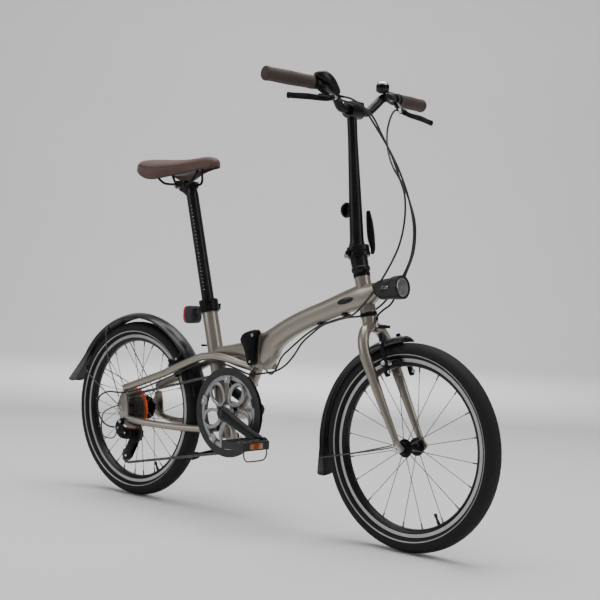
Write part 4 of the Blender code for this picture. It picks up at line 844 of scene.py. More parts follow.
# %% Chain links
UPPER = np.array([0.045, CHAIN_Y, 0.184])
LOWER = np.array([0.008, CHAIN_Y, 0.117])


def chain_loop():
    """Points of the chain's middle line: an arc on each wheel between the headings of its two tangents."""
    stops = [(CRANK, -0.1052), (LOWER, -0.0205), (UPPER, 0.0205), (REAR_HUB, -0.0366)]
    heading, points = [], []
    for i, (c, r) in enumerate(stops):
        n, other = stops[(i + 1) % 4]
        gap = n - c
        heading.append(math.atan2(gap[2], gap[0]) - math.asin((other - r) / math.hypot(gap[0], gap[2])))
    for i, (c, r) in enumerate(stops):
        turn = (heading[i] - heading[i - 1]) % (2 * np.pi)
        turn = turn - 2 * np.pi if r < 0 else turn
        h = heading[i - 1] + np.linspace(0.0, turn, 60)
        points.append(np.stack([c[0] + np.sin(h) * r, CHAIN_Y + 0 * h, c[2] - np.cos(h) * r], axis=1))
    return np.vstack(points)


def resampled(points, step=None, count=None, loop=False):
    """Evenly spaced points along a line of points, with the spacing nearest to the step, and the line's length."""
    points = np.vstack([points, points[:1]]) if loop else np.asarray(points, float)
    place = np.concatenate([[0.0], np.cumsum(np.linalg.norm(np.diff(points, axis=0), axis=1))])
    count = count or 2 * round(place[-1] / step / 2)
    at = np.linspace(0.0, place[-1], count, endpoint=not loop)
    return np.stack([np.interp(at, place, points[:, k]) for k in range(3)], axis=1), place[-1]


def link_plates(start, end, half_height, waist, y, thickness):
    """Waisted plates: an outline of two round ends and a narrower middle, laid from each start to each end."""
    along = unit(end - start)
    normal = np.cross(along, ACROSS)
    reach = np.linalg.norm(end - start, axis=1)[:, None, None]
    a = np.radians([90, 130, 180, 230, 270])
    left = np.stack([np.cos(a) * half_height, np.sin(a) * half_height], axis=1)
    outline = np.vstack([left, [[np.nan, -waist]], -left, [[np.nan, waist]]])
    share = np.array([0, 0, 0, 0, 0, 0.5, 1, 1, 1, 1, 1, 0.5])
    u = np.nan_to_num(outline[:, 0])
    flat = start[:, None] + (share[None, :, None] * reach + u[None, :, None]) * along[:, None]
    flat = flat + outline[None, :, 1, None] * normal[:, None]
    parts = []
    for sign in (-1.0, 1.0):
        low, high = (flat + ACROSS * sign * (y + d) for d in (0.0, thickness))
        parts += [skin(np.array([one, two]), flat=True) for one, two in zip(low, high)]
    return joined(parts)


loop_points, chain_length = resampled(chain_loop(), 0.0127, loop=True)
nearby = np.roll(loop_points, -1, axis=0)
even, odd = slice(0, None, 2), slice(1, None, 2)
links = [link_plates(loop_points[even], nearby[even], 0.004, 0.0027, 0.0012, 0.0009),
         link_plates(loop_points[odd], nearby[odd], 0.0039, 0.0026, 0.0022, 0.0009)]
pins = bars(loop_points - ACROSS * 0.0034, loop_points + ACROSS * 0.0034, [(0.0018, 0.0), (0.0018, 1.0)], 8)
rollers = bars(loop_points - ACROSS * 0.0012, loop_points + ACROSS * 0.0012, [(0.0037, 0.0), (0.0037, 1.0)],
               10)
piece("chain_links", "rear", DARK, [*links, pins, rollers], ("chain",))
print("chain:", len(loop_points), "links,", round(chain_length, 3), "m")

# %% Sprockets and derailleur
cogs = []
for i, (radius, count) in enumerate(((0.0575, 28), (0.052, 25), (0.046, 22), (0.0385, 18), (0.0315, 15),
                                     (0.027, 13),
                                     (0.0232, 11))):
    y = -0.0266 - 0.005 * i
    tip = radius if i != 3 else 0.0385
    cogs.append(gear(REAR_HUB + ACROSS * y, tip - 0.0052, tip, count, -0.0018, 0.0, 0.015))
lock = [(0.0062, -0.0246), (0.019, -0.0246), (0.019, -0.059), (0.0155, -0.0605), (0.0062, -0.0605)]
piece("sprocket_stack", "sprockets", COG, [*cogs, lathe(lock, REAR_HUB, ACROSS, 48, True, 0.0006)],
      ("cassette",))

arm_rows = [(0.006, -0.0755, 0.217, 0.005, 0.009), (0.006, -0.0772, 0.201, 0.007, 0.015),
            (0.019, -0.0745, 0.186, 0.0088, 0.0175), (0.044, -0.0615, 0.1835, 0.0078, 0.015)]
barrel = [(0.0085, 0.0), (0.0092, 0.002), (0.0092, 0.008), (0.007, 0.0106)]
knuckle = [(0.0105, 0.0), (0.0112, 0.003), (0.0112, 0.01), (0.0085, 0.0125)]
link_arm = [(0.006, 0.204), (0.02, 0.201), (0.043, 0.192), (0.04, 0.18), (0.018, 0.185), (0.004, 0.193)]
piece("derailleur_arm", "rear", BLACK,
      [tube(arm_rows, ACROSS, 30, 2.8, 32, dome=0.003), lathe(barrel, (0.0105, -0.0692, 0.2165), -ACROSS, 36),
       lathe(knuckle, (0.044, -0.052, 0.184), -ACROSS, 40, soft=0.001),
       plate(link_arm, -0.0835, -0.0812, None, 0.0006, 0.004)],
      ("derailleur_body",))
piece("derailleur_screws", "rear", STEEL,
      [bolt((0.0105, -0.0796, 0.2165), -ACROSS, 0.0046, 0.002),
       bolt((0.008, -0.0835, 0.1985), -ACROSS, 0.0026, 0.0012),
       bolt((0.038, -0.0835, 0.187), -ACROSS, 0.0026, 0.0012),
       lathe([(0.003, 0.0), (0.0034, 0.002), (0.0034, 0.008), (0.0026, 0.01)], (-0.006, -0.0765, 0.1975),
             -AHEAD, 16)])
wire_guard = [(0.006, -0.0835, 0.262), (-0.024, -0.084, 0.252), (-0.056, -0.0835, 0.236),
              (-0.067, -0.082, 0.212),
              (-0.064, -0.082, 0.178), (-0.05, -0.082, 0.166), (-0.02, -0.082, 0.1655),
              (-0.003, -0.083, 0.176),
              (0.004, -0.083, 0.2)]


piece("derailleur_wire_guard", "rear", DARK, [pipe(wire_guard, 0.0019, 90, ACROSS, 12, dome=0.001)])


def strap(a, ra, b, rb, steps=8):
    """The outline of two round ends, at a and b, joined by straight sides."""
    h = math.atan2(b[1] - a[1], b[0] - a[0])
    t = np.linspace(-np.pi / 2, np.pi / 2, steps)
    ends = [np.stack([c[0] + r * np.cos(base + t), c[1] + r * np.sin(base + t)], axis=1)
            for c, r, base in ((b, rb, h), (a, ra, h + np.pi))]
    return np.vstack(ends)


up_xz, low_xz = (0.045, 0.184), (0.008, 0.117)
piece("derailleur_cage_plates", "cage", BLACK,
      [plate(strap(up_xz, 0.014, low_xz, 0.012), -0.051, -0.0492, None, 0.0005, 0),
       plate(strap(up_xz, 0.013, low_xz, 0.012), -0.0358, -0.034, None, 0.0005, 0),
       *[lathe([(0.003, 0.0), (0.003, 0.015)], (x, -0.05, z), ACROSS, 20) for x, z in (up_xz, low_xz)]],
      ("derailleur_cage",))
piece("derailleur_cage_bolts", "cage", STEEL,
      [bolt((x, -0.0508, z), -ACROSS, 0.0034, 0.0011) for x, z in (up_xz, low_xz)])
for name, centre in (("upper", UPPER), ("lower", LOWER)):
    ring = [(0.0034, -0.0045), (0.0105, -0.0045), (0.0125, -0.002), (0.0125, 0.002), (0.0105, 0.0045),
            (0.0034, 0.0045)]
    piece(f"{name}_jockey_gear", f"{name}_jockey", PLASTIC,
          [gear(centre, 0.0122, 0.0166, 11, -0.001, 0.001, 0.004),
           lathe(ring, centre, ACROSS, 40, True, 0.0004)],
          (f"{name}_jockey_wheel",))
print("pieces after the drivetrain:", len(PIECES))

# %% [markdown]
# ## The rear half of the frame
# Aluminium tubes are hydroformed, mitred and welded. The seat tube, the bottom bracket and the rear hinge plate
# make one welded unit, and two pairs of stays hold the wheel. Each tube is a section carried along a smooth line.

# %% Seat tube, bottom bracket and rear hinge plate
SEAT_UP = np.array([-math.cos(math.radians(74.87)), 0.0, math.sin(math.radians(74.87))])
SEAT_FOOT = np.array([0.369, 0.0, 0.205])
STEER_UP = np.array([-math.cos(math.radians(74.5)), 0.0, math.sin(math.radians(74.5))])
STEER_AHEAD = np.array([math.sin(math.radians(74.5)), 0.0, math.cos(math.radians(74.5))])
POST_UP = np.array([-0.1017, 0.0, 0.9948])


def seat_at(height):
    return SEAT_FOOT + SEAT_UP * ((height - SEAT_FOOT[2]) / SEAT_UP[2])


def steer_at(height):
    return np.array([0.8215, 0.0, 0.609]) + STEER_UP * ((height - 0.609) / STEER_UP[2])


def ring(outer, inner, low, high):
    """The profile of a short hollow tube."""
    return [(inner, low), (outer, low), (outer, high), (inner, high)]


def bead(start, along, radius, thick=0.0018):
    """A weld bead: a ring of overlapping drops, thick (1 + 0.25 cos(n a)) deep."""
    a = np.linspace(0.0, 2 * np.pi, 240, endpoint=False)[None, :]
    b = np.linspace(0.0, 2 * np.pi, 12, endpoint=False)[:, None]
    size = thick * (1.0 + 0.18 * np.cos(46 * a))
    first, second = frame_of(along)
    reach = radius + size * np.cos(b)
    points = (np.asarray(start) + reach[...,
                                        None] * (np.cos(a)[..., None] * first + np.sin(a)[..., None] * second)
              + (size * np.sin(b))[..., None] * unit(along))
    return skin(points, loop=True)


HINGE = np.array([0.4825, 0.042, 0.398])
seat_length = (0.566 - SEAT_FOOT[2]) / SEAT_UP[2]
stub_rows = [(0.3, 0, 0.431, 0.018, 0.015), (0.36, 0, 0.4395, 0.019, 0.016), (0.42, 0, 0.446, 0.021, 0.023),
             (0.474, 0, 0.447, 0.026, 0.044)]
down_rows = [(0.466, 0.0, 0.408), (0.457, 0.0, 0.38), (0.4115, 0.0, 0.285)]
gusset = [(0.3625, 0.305), (0.412, 0.298), (0.412, 0.262), (0.3755, 0.252)]
lug = [(0.344, 0.196), (0.38, 0.196), (0.38, 0.219), (0.344, 0.214)]
HINGE_AXES = (ACROSS, UP, AHEAD)


def outside_post(part):
    """The same surface, pressed forward onto a cylinder in the seat tube's wall where it would enter the bore."""
    points, faces = part
    middle = SEAT_FOOT[0] + (points[:, 2] - SEAT_FOOT[2]) * SEAT_UP[0] / SEAT_UP[2]
    wall = middle + np.sqrt(np.maximum(0.0195 ** 2 - points[:, 1] ** 2, 0.0))
    return np.column_stack([np.maximum(points[:, 0], wall), points[:, 1:]]), faces


rear_parts = [lathe(ring(0.0215, 0.0174, 0.0, seat_length), SEAT_FOOT, SEAT_UP, 96, True),
              lathe(ring(0.0212, 0.0092, -0.034, 0.034), CRANK, ACROSS, 80, True),
              plate(gusset, -0.01, 0.01, None, 0.002, 0.008), plate(lug, 0.012, 0.023, None, 0.001, 0.005),
              pipe(down_rows, 0.0155, 50, ACROSS, 48), outside_post(tube(stub_rows, ACROSS, 50, 2.4, 64)),
              block((0.47645, -0.00075, 0.447), (0.02925, 0.049, 0.00575), HINGE_AXES, 0.011, 0.0014),
              lathe([(0.005, 0.001), (0.005, 0.097)], HINGE, UP, 32)]
for low, high in ((0.0, 0.023), (0.075, 0.098)):
    rear_parts.append(lathe([(0.01, low), (0.01, high)], HINGE, UP, 48))
    centre = (0.4772, 0.031, HINGE[2] + 0.5 * (low + high))
    rear_parts.append(block(centre, (0.011, 0.5 * (high - low) - 0.0005, 0.005), HINGE_AXES, 0.002, 0.001))

rear_parts += [bead(CRANK + UP * 0.03 + AHEAD * 0.013, unit(np.array([0.42, 0.0, 0.91])), 0.0157),
               bead((0.4655, 0.0, 0.404), unit(np.array([0.25, 0.0, 0.97])), 0.0157)]
piece("rear_frame_tubes", "rear", PAINT, rear_parts, ("rear_frame",))
cups = [lathe([(0.02, 0.0342), (0.02, 0.0372), (0.017, 0.0385)], CRANK, ACROSS * s, 60) for s in (-1.0, 1.0)]
piece("bottom_bracket_cups", "rear", BLACK, cups)

# %% Stays and dropouts
upper_stay = [(0.469, -0.0275, 0.4045), (0.43, -0.03, 0.411), (0.385, -0.0335, 0.4205),
              (0.335, -0.0345, 0.424),
              (0.3, -0.0365, 0.4205), (0.273, -0.0395, 0.413), (0.21, -0.047, 0.387), (0.153, -0.053, 0.362),
              (0.01, -0.0625, 0.312)]
lower_stay = [(0.02, -0.0655, 0.2285, 0.0055, 0.007), (0.07, -0.06, 0.2215, 0.009, 0.0095),
              (0.15, -0.05, 0.219, 0.0095, 0.0098), (0.22, -0.037, 0.2185, 0.0098, 0.0098),
              (0.3, -0.0235, 0.222, 0.0098, 0.0098), (0.342, -0.0175, 0.2285, 0.0094, 0.0096)]
dropout = [(0.0, 0.299), (0.02, 0.298), (0.027, 0.27), (0.031, 0.232), (0.016, 0.218), (-0.012, 0.234),
           (-0.017, 0.262)]
hanger = [(0.0, 0.232), (0.02, 0.232), (0.017, 0.206), (0.004, 0.206)]
stay = pipe(upper_stay, 0.0105, 120, ACROSS, 40, dome=0.006)
lower = tube(lower_stay, ACROSS, 90, 2.0, 40, dome=0.003)
ends = [lower, plate(dropout, -0.069, -0.064, None, 0.0008, 0.006)]
piece("right_seatstay_tube", "rear", PAINT, [stay], ("right_upper_stay",))
piece("left_seatstay_tube", "rear", PAINT, [mirrored(stay)], ("left_upper_stay",))
piece("right_chainstay_tube", "rear", PAINT, [*ends, plate(hanger, -0.0688, -0.0642, None, 0.0006, 0.003)],
      ("right_chainstay",))
piece("left_chainstay_tube", "rear", PAINT, [mirrored(joined(ends))], ("left_chainstay",))

# %% [markdown]
# ## Mudguards, stand, seat clamp and tail light
# A mudguard is a thin moulded arch with a raised middle and edges that turn in, so that it doesn't rattle. Two
# wire stays hold its free end. The kickstand is a cast leg on a spring-loaded pivot.

# %% Mudguards and their wires
def mudguard(hub, start, end, crowns, flare, tail_half, steps=150, across=41):
    """A strip round the hub: radius crown(t) - 0.011 v^2 + ridge(v), half width w(t); 1.8 mm thick, with the corners
    of its free end rounded off."""
    t = np.linspace(0.0, 1.0, steps)[:, None]
    turn = np.radians(start + (end - start) * t)
    tail = np.clip((t - 0.86) / 0.14, 0.0, 1.0)
    v = np.linspace(1.0, -1.0, across)[None, :]
    half = (0.027 + (tail_half - 0.027) * tail) * np.sqrt(1.0 - np.clip((t - 0.985) / 0.016, 0.0, 0.97) ** 2)
    ridge = 0.0011 * np.exp(-(v / 0.16) ** 2) - 0.0009 * np.clip((np.abs(v) - 0.9) / 0.1, 0.0, 1.0) ** 2
    crown = crowns[0] + (crowns[1] - crowns[0]) * t + flare * tail ** 2 - 0.011 * v ** 2 * (1.0 - 0.5 * tail) + ridge

    def layer(drop):
        r = crown - drop
        return np.stack([hub[0] + r * np.cos(turn), hub[1] + half * v, hub[2] + r * np.sin(turn)], axis=-1)

    return skin(np.concatenate([layer(0.0), layer(0.0017)[:, ::-1]], axis=1), flat=True)


piece("rear_mudguard_shell", "rear", GLOSS, [mudguard(REAR_HUB, 12.0, 169.5, (0.273, 0.275), 0.03, 0.036)],
      ("rear_mudguard",))
piece("front_mudguard_shell", "fork", GLOSS, [mudguard(FRONT_HUB, 95.0, 201.0, (0.265, 0.279), 0.009, 0.033)],
      ("front_mudguard",))


def wire(points, count=40):
    return pipe(points, 0.0016, count, ACROSS, 10, dome=0.001)


rear_wires = [[(-0.215, -0.024, 0.356), (-0.21, -0.033, 0.35), (-0.15, -0.052, 0.325), (-0.03, -0.071, 0.272),
               (-0.008, -0.072, 0.264)],
              [(-0.12, -0.025, 0.476), (-0.118, -0.035, 0.465), (-0.08, -0.056, 0.39),
               (-0.008, -0.0715, 0.285)]]
front_wires = [[(0.726, -0.029, 0.198), (0.733, -0.035, 0.199), (0.85, -0.047, 0.226),
                (0.962, -0.0535, 0.256)]]
piece("rear_mudguard_stays", "rear", DARK, [both(wire(points)) for points in rear_wires])
piece("front_mudguard_stays", "fork", DARK, [both(wire(points)) for points in front_wires])
clips = [both(block((-0.215, -0.025, 0.3555), (0.005, 0.004, 0.003))),
         both(block((-0.1195, -0.025, 0.474), (0.004, 0.005, 0.003)))]
piece("rear_stay_clips", "rear", PLASTIC, clips)
piece("front_stay_clips", "fork", PLASTIC, [both(block((0.7265, -0.0295, 0.198), (0.005, 0.004, 0.003)))])

# %% Kickstand, seat clamp and tail light
PIVOT = np.array([0.355, 0.034, 0.205])
leg = [(0.355, 0.036, 0.205), (0.345, 0.0375, 0.193), (0.33, 0.0392, 0.1795), (0.3, 0.041, 0.162),
       (0.184, 0.05, 0.129)]
foot = [(0.2, 0.0489, 0.1335, 0.0072, 0.009), (0.188, 0.0497, 0.13, 0.0085, 0.0105),
        (0.174, 0.0506, 0.1262, 0.009, 0.011)]
piece("kickstand_leg", "stand", SATIN,
      [pipe(leg, 0.0064, 70, UP, 32), lathe([(0.0105, -0.0105), (0.0112, -0.006), (0.0112, 0.006),
                                             (0.0105, 0.01)],
                                           PIVOT, ACROSS, 48)], ("kickstand",))
piece("kickstand_foot", "stand", RUBBER, [tube(foot, ACROSS, 16, 3.0, 32, dome=0.002)])
piece("kickstand_bolt", "stand", STEEL, [bolt(PIVOT + ACROSS * 0.0098, ACROSS, 0.0048, 0.003)])

collar = [(0.0218, 0.0), (0.0262, 0.0), (0.0262, 0.034), (0.0178, 0.034), (0.0178, 0.0272), (0.0218, 0.0272)]
grooves = [lathe(ring(0.0268, 0.0255, d, d + 0.004), seat_at(0.54), SEAT_UP, 96, True) for d in (0.004,
                                                                                                 0.026)]
piece("seat_clamp_ring", "rear", BLACK, [lathe(collar, seat_at(0.54), SEAT_UP, 96, True), *grooves,
                                         block((0.276, 0.0246, 0.556), (0.008, 0.009, 0.0026))],
      ("seat_collar",))
lever_rows = [(0.2795, 0.0345, 0.556, 0.004, 0.007), (0.262, 0.0352, 0.556, 0.0042, 0.007),
              (0.232, 0.037, 0.5555, 0.003, 0.006), (0.214, 0.033, 0.555, 0.002, 0.005)]
piece("seat_quick_lever", "seat_clamp_lever", BLACK,
      [tube(lever_rows, ACROSS, 40, 2.6, 28, dome=0.0015),
       lathe([(0.0062, -0.0085), (0.0062, 0.0085)], (0.276, 0.0345, 0.556), UP, 40)], ("seat_lever",))
lamp_rows = [(0.1945, 0, 0.53, 0.0185, 0.022), (0.1985, 0, 0.53, 0.0208, 0.0243),
             (0.21, 0, 0.5304, 0.0208, 0.0243),
             (0.225, 0, 0.531, 0.02, 0.0235), (0.2315, 0, 0.531, 0.0135, 0.0155)]
bracket_rows = [(0.225, 0, 0.535, 0.009, 0.011), (0.246, 0, 0.544, 0.009, 0.009)]
piece("tail_light_case", "rear", PLASTIC, [tube(lamp_rows, ACROSS, 40, 3.6, 48),
                                           tube(bracket_rows, ACROSS, 12, 3.0, 32)],
      ("tail_light",))
lens_rows = [(0.201, 0, 0.53, 0.0213, 0.0248), (0.195, 0, 0.53, 0.0212, 0.0247),
             (0.1925, 0, 0.53, 0.0198, 0.0232),
             (0.1905, 0, 0.53, 0.016, 0.0195)]
piece("tail_light_lens", "rear", RED, [tube(lens_rows, ACROSS, 12, 3.6, 48, dome=0.0012)])

# %% [markdown]
# ## The front half
# The main beam is the bicycle's signature: a hydroformed tube that is tall at the hinge, slim in the middle and
# tall again at the head tube. Its section is a superellipse, so its sides are nearly flat and its corners round.

# %% Main beam, front hinge plate and head tube
beam_rows = [(0.484, 0, 0.446, 0.029, 0.046), (0.503, 0, 0.459, 0.027, 0.042),
             (0.528, 0, 0.481, 0.0245, 0.0315),
             (0.577, 0, 0.512, 0.0225, 0.0275), (0.6365, 0, 0.54, 0.0213, 0.026),
             (0.71, 0, 0.568, 0.0208, 0.0258),
             (0.77, 0, 0.59, 0.0212, 0.028), (0.821, 0, 0.6055, 0.0222, 0.031),
             (0.858, 0, 0.622, 0.017, 0.019)]
beam_points, beam_faces = tube(beam_rows, ACROSS, 130, 2.5, 72)
beam_points[:, 0] = np.maximum(beam_points[:, 0], 0.4832)
HEAD = steer_at(0.556)
head_length = (0.66 - 0.556) / STEER_UP[2]
front_parts = [(beam_points, beam_faces),
               block((0.48935, -0.00075, 0.447), (0.02925, 0.049, 0.0065), HINGE_AXES, 0.011, 0.0014),
               lathe([(0.0148, 0.0), (0.0205, 0.0), (0.0205, 0.012), (0.0199, 0.016),
                      (0.0199, head_length - 0.016),
                      (0.0205, head_length - 0.012), (0.0205, head_length), (0.0148, head_length)], HEAD,
                     STEER_UP, 96, True),
               lathe(ring(0.01, 0.0054, 0.0235, 0.0745), HINGE, UP, 48, True),
               block((0.4878, 0.031, 0.447), (0.011, 0.025, 0.005), HINGE_AXES, 0.002, 0.001)]
piece("front_frame_beam", "front", PAINT, front_parts, ("front_frame",))
headset = [lathe(ring(0.0214, 0.02, -0.0006, 0.0085), HEAD, STEER_UP, 96, True),
           lathe(ring(0.0214, 0.02, head_length - 0.0085, head_length + 0.0006), HEAD, STEER_UP, 96, True)]
piece("headset_cups", "front", BLACK, headset)
badge = np.stack([0.026 * np.cos(np.linspace(0, 2 * np.pi, 48, endpoint=False)),
                  0.0078 * np.sin(np.linspace(0, 2 * np.pi, 48, endpoint=False))], axis=1)
tilt = unit(np.array([0.051, 0.0, 0.014]))
badge_axes = (np.array([0.7765, 0.0, 0.5915]), tilt, np.cross(tilt, -ACROSS), -ACROSS)
piece("plain_badge", "front", GLOSS, [plate(badge, 0.019, 0.0226, badge_axes, 0.0005, 0),
                                      plate(badge * 0.8, 0.019, 0.023, badge_axes, 0.0003, 0)])
clip_spots = [(0.684, 0.0, 0.53), (0.763, 0.0, 0.556)]
piece("cable_clips", "front", PLASTIC, [block(spot, (0.0055, 0.0035, 0.0125),
                                              corner=0.0015) for spot in clip_spots])

# %% Frame latch and its cover
latch = [(0.4415, 0.474), (0.452, 0.492), (0.474, 0.5), (0.5, 0.506), (0.507, 0.498), (0.498, 0.486),
         (0.493, 0.44), (0.492, 0.412), (0.473, 0.409), (0.462, 0.445), (0.454, 0.46)]
inner_latch = [(0.455, 0.478), (0.472, 0.49), (0.496, 0.496), (0.49, 0.484), (0.485, 0.44), (0.484, 0.419),
               (0.476, 0.418), (0.468, 0.448)]
piece("frame_latch_lever", "latch", BLACK, [plate(latch, -0.0485, -0.0325, None, 0.0026, 0.008),
                                            plate(inner_latch, -0.0495, -0.047, None, 0.0009, 0.005)],
      ("frame_latch",))
piece("frame_latch_screws", "latch", STEEL, [bolt((0.4885, -0.0484, 0.49), -ACROSS, 0.0042, 0.0016),
                                             bolt((0.483, -0.0484, 0.42), -ACROSS, 0.003, 0.0012)])
piece("frame_bumper", "front", RUBBER, [lathe([(0.009, 0.0), (0.0095, 0.004), (0.007, 0.012)],
                                              (0.523, 0.0, 0.4475), np.array([0.45, 0.0, -0.89]), 40,
                                              soft=0.002)])

# %% Headlight
head_rows = [(0.865, 0, 0.62, 0.0165, 0.0195), (0.872, 0, 0.622, 0.0208, 0.024),
             (0.9, 0, 0.6262, 0.0238, 0.0258),
             (0.913, 0, 0.628, 0.025, 0.0265), (0.918, 0, 0.6289, 0.0282, 0.0287),
             (0.935, 0, 0.631, 0.0285, 0.029)]
AIM = unit(np.array([0.016, 0.0, 0.002]))
LAMP = np.array([0.935, 0.0, 0.631])
piece("headlight_case", "front", PLASTIC, [tube(head_rows, ACROSS, 70, 2.4, 64)], ("headlight",))
rim_profile = ring(0.029, 0.0238, -0.003, 0.0018)
piece("headlight_bezel", "front", GLOSS, [lathe(rim_profile, LAMP, AIM, 80, True)])
piece("headlight_lens", "front", CLEAR, [lathe([(0.024, -0.001), (0.0236, 0.0005), (0.018, 0.0022),
                                                (0.008, 0.0032)],
                                               LAMP, AIM, 80, soft=0.002)])
window = [(0.89, 0.624), (0.912, 0.627), (0.912, 0.634), (0.89, 0.631)]
piece("headlight_windows", "front", CLEAR, [both(plate(window, -0.0262, -0.0225, None, 0.0006, 0.002))])

# %% [markdown]
# ## The fork and the folding post
# The fork's legs curve forward at their ends, which steadies the steering. Above it, the handlebar post folds on
# a slanted hinge between two diamond flanges, and a chunky lever holds the flanges together.

# %% Fork
leg_rows = [(0.847, -0.008, 0.53, 0.0135, 0.015), (0.849, -0.028, 0.522, 0.0135, 0.015),
            (0.857, -0.0445, 0.498, 0.013, 0.0148), (0.868, -0.0505, 0.468, 0.0125, 0.0145),
            (0.885, -0.051, 0.433, 0.012, 0.014), (0.931, -0.05, 0.343, 0.0095, 0.011),
            (0.969, -0.0485, 0.27, 0.007, 0.0085)]
BOSS = np.array([0.893, -0.048, 0.414])
BOSS_AXIS = unit(np.array([0.013, 0.0, 0.0067]))
half = joined([tube(leg_rows, ACROSS, 110, 2.0, 48, dome=0.003),
               plate(strap((0.97, 0.268), 0.009, (0.979, 0.25), 0.011, 14), -0.051, -0.046, None, 0.0008, 0),
               lathe([(0.0075, 0.0), (0.0075, 0.0146)], BOSS, BOSS_AXIS, 32)])
crown = [(0.017, 0.0), (0.0195, 0.01), (0.0195, 0.03), (0.018, 0.0315), (0.0143, 0.0315), (0.0143, 0.192)]
piece("fork_blades", "fork", PAINT, [half, mirrored(half), lathe(crown, steer_at(0.525), STEER_UP, 80)],
      ("fork",))

# %% Folding post, flanges and knob
LATCH_SIDE = unit(STEER_AHEAD + ACROSS)
SHORT = unit(np.cross(STEER_UP, LATCH_SIDE))
FLANGE = steer_at(0.712)
POST_HINGE = FLANGE - LATCH_SIDE * 0.0275


def flange(low, high):
    """A diamond-like plate: an oval that is longer on the latch's side."""
    t = np.linspace(0.0, 2 * np.pi, 96, endpoint=False)
    c, s = np.cos(t), np.sin(t)
    outline = np.stack([np.where(c > 0, 0.03, 0.0262) * np.sign(c) * np.abs(c) ** 0.92,
                        0.025 * np.sign(s) * np.abs(s) ** 0.92], axis=1)
    return plate(outline, low, high, (FLANGE, LATCH_SIDE, SHORT, STEER_UP), 0.0016, 0)


def cross_rod(centre, low, high, radius, sides=36):
    return lathe([(radius, low), (radius, high)], centre, SHORT, sides)


rise = np.linalg.norm(FLANGE - steer_at(0.661))
base_profile = [(0.02, 0.0), (0.0235, 0.006), (0.0235, 0.013), (0.0215, 0.016), (0.0225, rise - 0.008)]
piece("post_hinge_base", "fork", SATIN,
      [lathe(base_profile, steer_at(0.6612), STEER_UP, 80), flange(-0.013, -0.0004),
       cross_rod(POST_HINGE, -0.008, 0.008, 0.006)], ("post_base",))
post_foot = FLANGE + STEER_UP * 0.01
tube_profile = [(0.0222, 0.0), (0.0205, 0.008), (0.0182, 0.016), (0.0174, 0.026), (0.017, 0.06),
                (0.016, 0.12),
                (0.0145, 0.18), (0.0129, 0.25), (0.0125, 0.27), (0.0125, 0.336)]
CLAMP = np.array([0.762, 0.0, 1.064])
knob = [(0.006, 0.0), (0.006, 0.018), (0.015, 0.0205), (0.019, 0.022), (0.02, 0.026), (0.0175, 0.03),
        (0.01, 0.0312)]
post_parts = [flange(0.0004, 0.015), lathe(tube_profile, post_foot, POST_UP, 80, soft=0.004),
              lathe(ring(0.0205, 0.0117, -0.023, 0.023), CLAMP, ACROSS, 80, True),
              block((0.762, 0.0, 1.076), (0.018, 0.01, 0.019), corner=0.005, edge=0.0015),
              lathe(knob, (0.776, 0.0, 0.817), -AHEAD, 56), cross_rod(POST_HINGE, -0.02, -0.0086, 0.006),
              cross_rod(POST_HINGE, 0.0086, 0.02, 0.006), cross_rod(POST_HINGE, -0.019, 0.019, 0.003)]
piece("folding_post_tube", "post", SATIN, post_parts, ("handlepost",))
piece("post_clamp_bolts", "post", STEEL,
      [bolt((0.745, y, 1.08), np.array([-1.0, 0.0, 0.25]), 0.004, 0.003) for y in (-0.012, 0.012)]
      + [bolt((x, 0.0, 1.0856), UP, 0.004, 0.0022) for x in (0.75, 0.774)])
handle = [(0.0365, -0.008, 0.01, 0.0045), (0.038, 0.006, 0.012, 0.0062), (0.0345, 0.033, 0.012, 0.0092),
          (0.032, 0.072, 0.011, 0.008), (0.03, 0.098, 0.008, 0.005)]
latch_rows = [(*(FLANGE + LATCH_SIDE * r + POST_UP * h), w, t) for r, h, w, t in handle]
piece("post_latch_handle", "post_latch_lever", BLACK, [tube(latch_rows, SHORT, 60, 2.8, 40, dome=0.002)],
      ("post_latch",))
pad_rows = [(*(FLANGE + LATCH_SIDE * r + POST_UP * h), w, t) for r, h, w, t in
            ((0.0425, 0.03, 0.007, 0.0018), (0.041, 0.05, 0.0078, 0.0022), (0.0385, 0.074, 0.0068, 0.0018))]
piece("post_latch_button", "post_latch_lever", PALE, [tube(pad_rows, SHORT, 24, 3.0, 28, dome=0.001)])
print("pieces after the front:", len(PIECES))

# %% [markdown]
# ## Handlebar, grips and controls
# The bar is one bent aluminium tube, low in the middle and high at the hands. Grips are moulded rubber sleeves
# with shallow ribs. On the right are the twist-free shifter pod and its trigger, on the left the bell.

# %% Handlebar and grips
def bar_at(y):
    return np.array([0.775 - (abs(y) - 0.125) * 0.18, y, 1.1105 + (abs(y) - 0.125) * 0.028])


right_half = [bar_at(-0.301), bar_at(-0.23), bar_at(-0.165), bar_at(-0.125), (0.7735, -0.1, 1.1065),
              (0.769, -0.078, 1.087), (0.764, -0.056, 1.068), (0.762, -0.038, 1.064), (0.762, -0.02, 1.064)]
left_half = [(x, -y, z) for x, y, z in reversed(right_half)]
piece("handlebar_tube", "post", SATIN, [pipe(right_half + left_half, 0.0111, 240, UP, 40)], ("handlebar",))


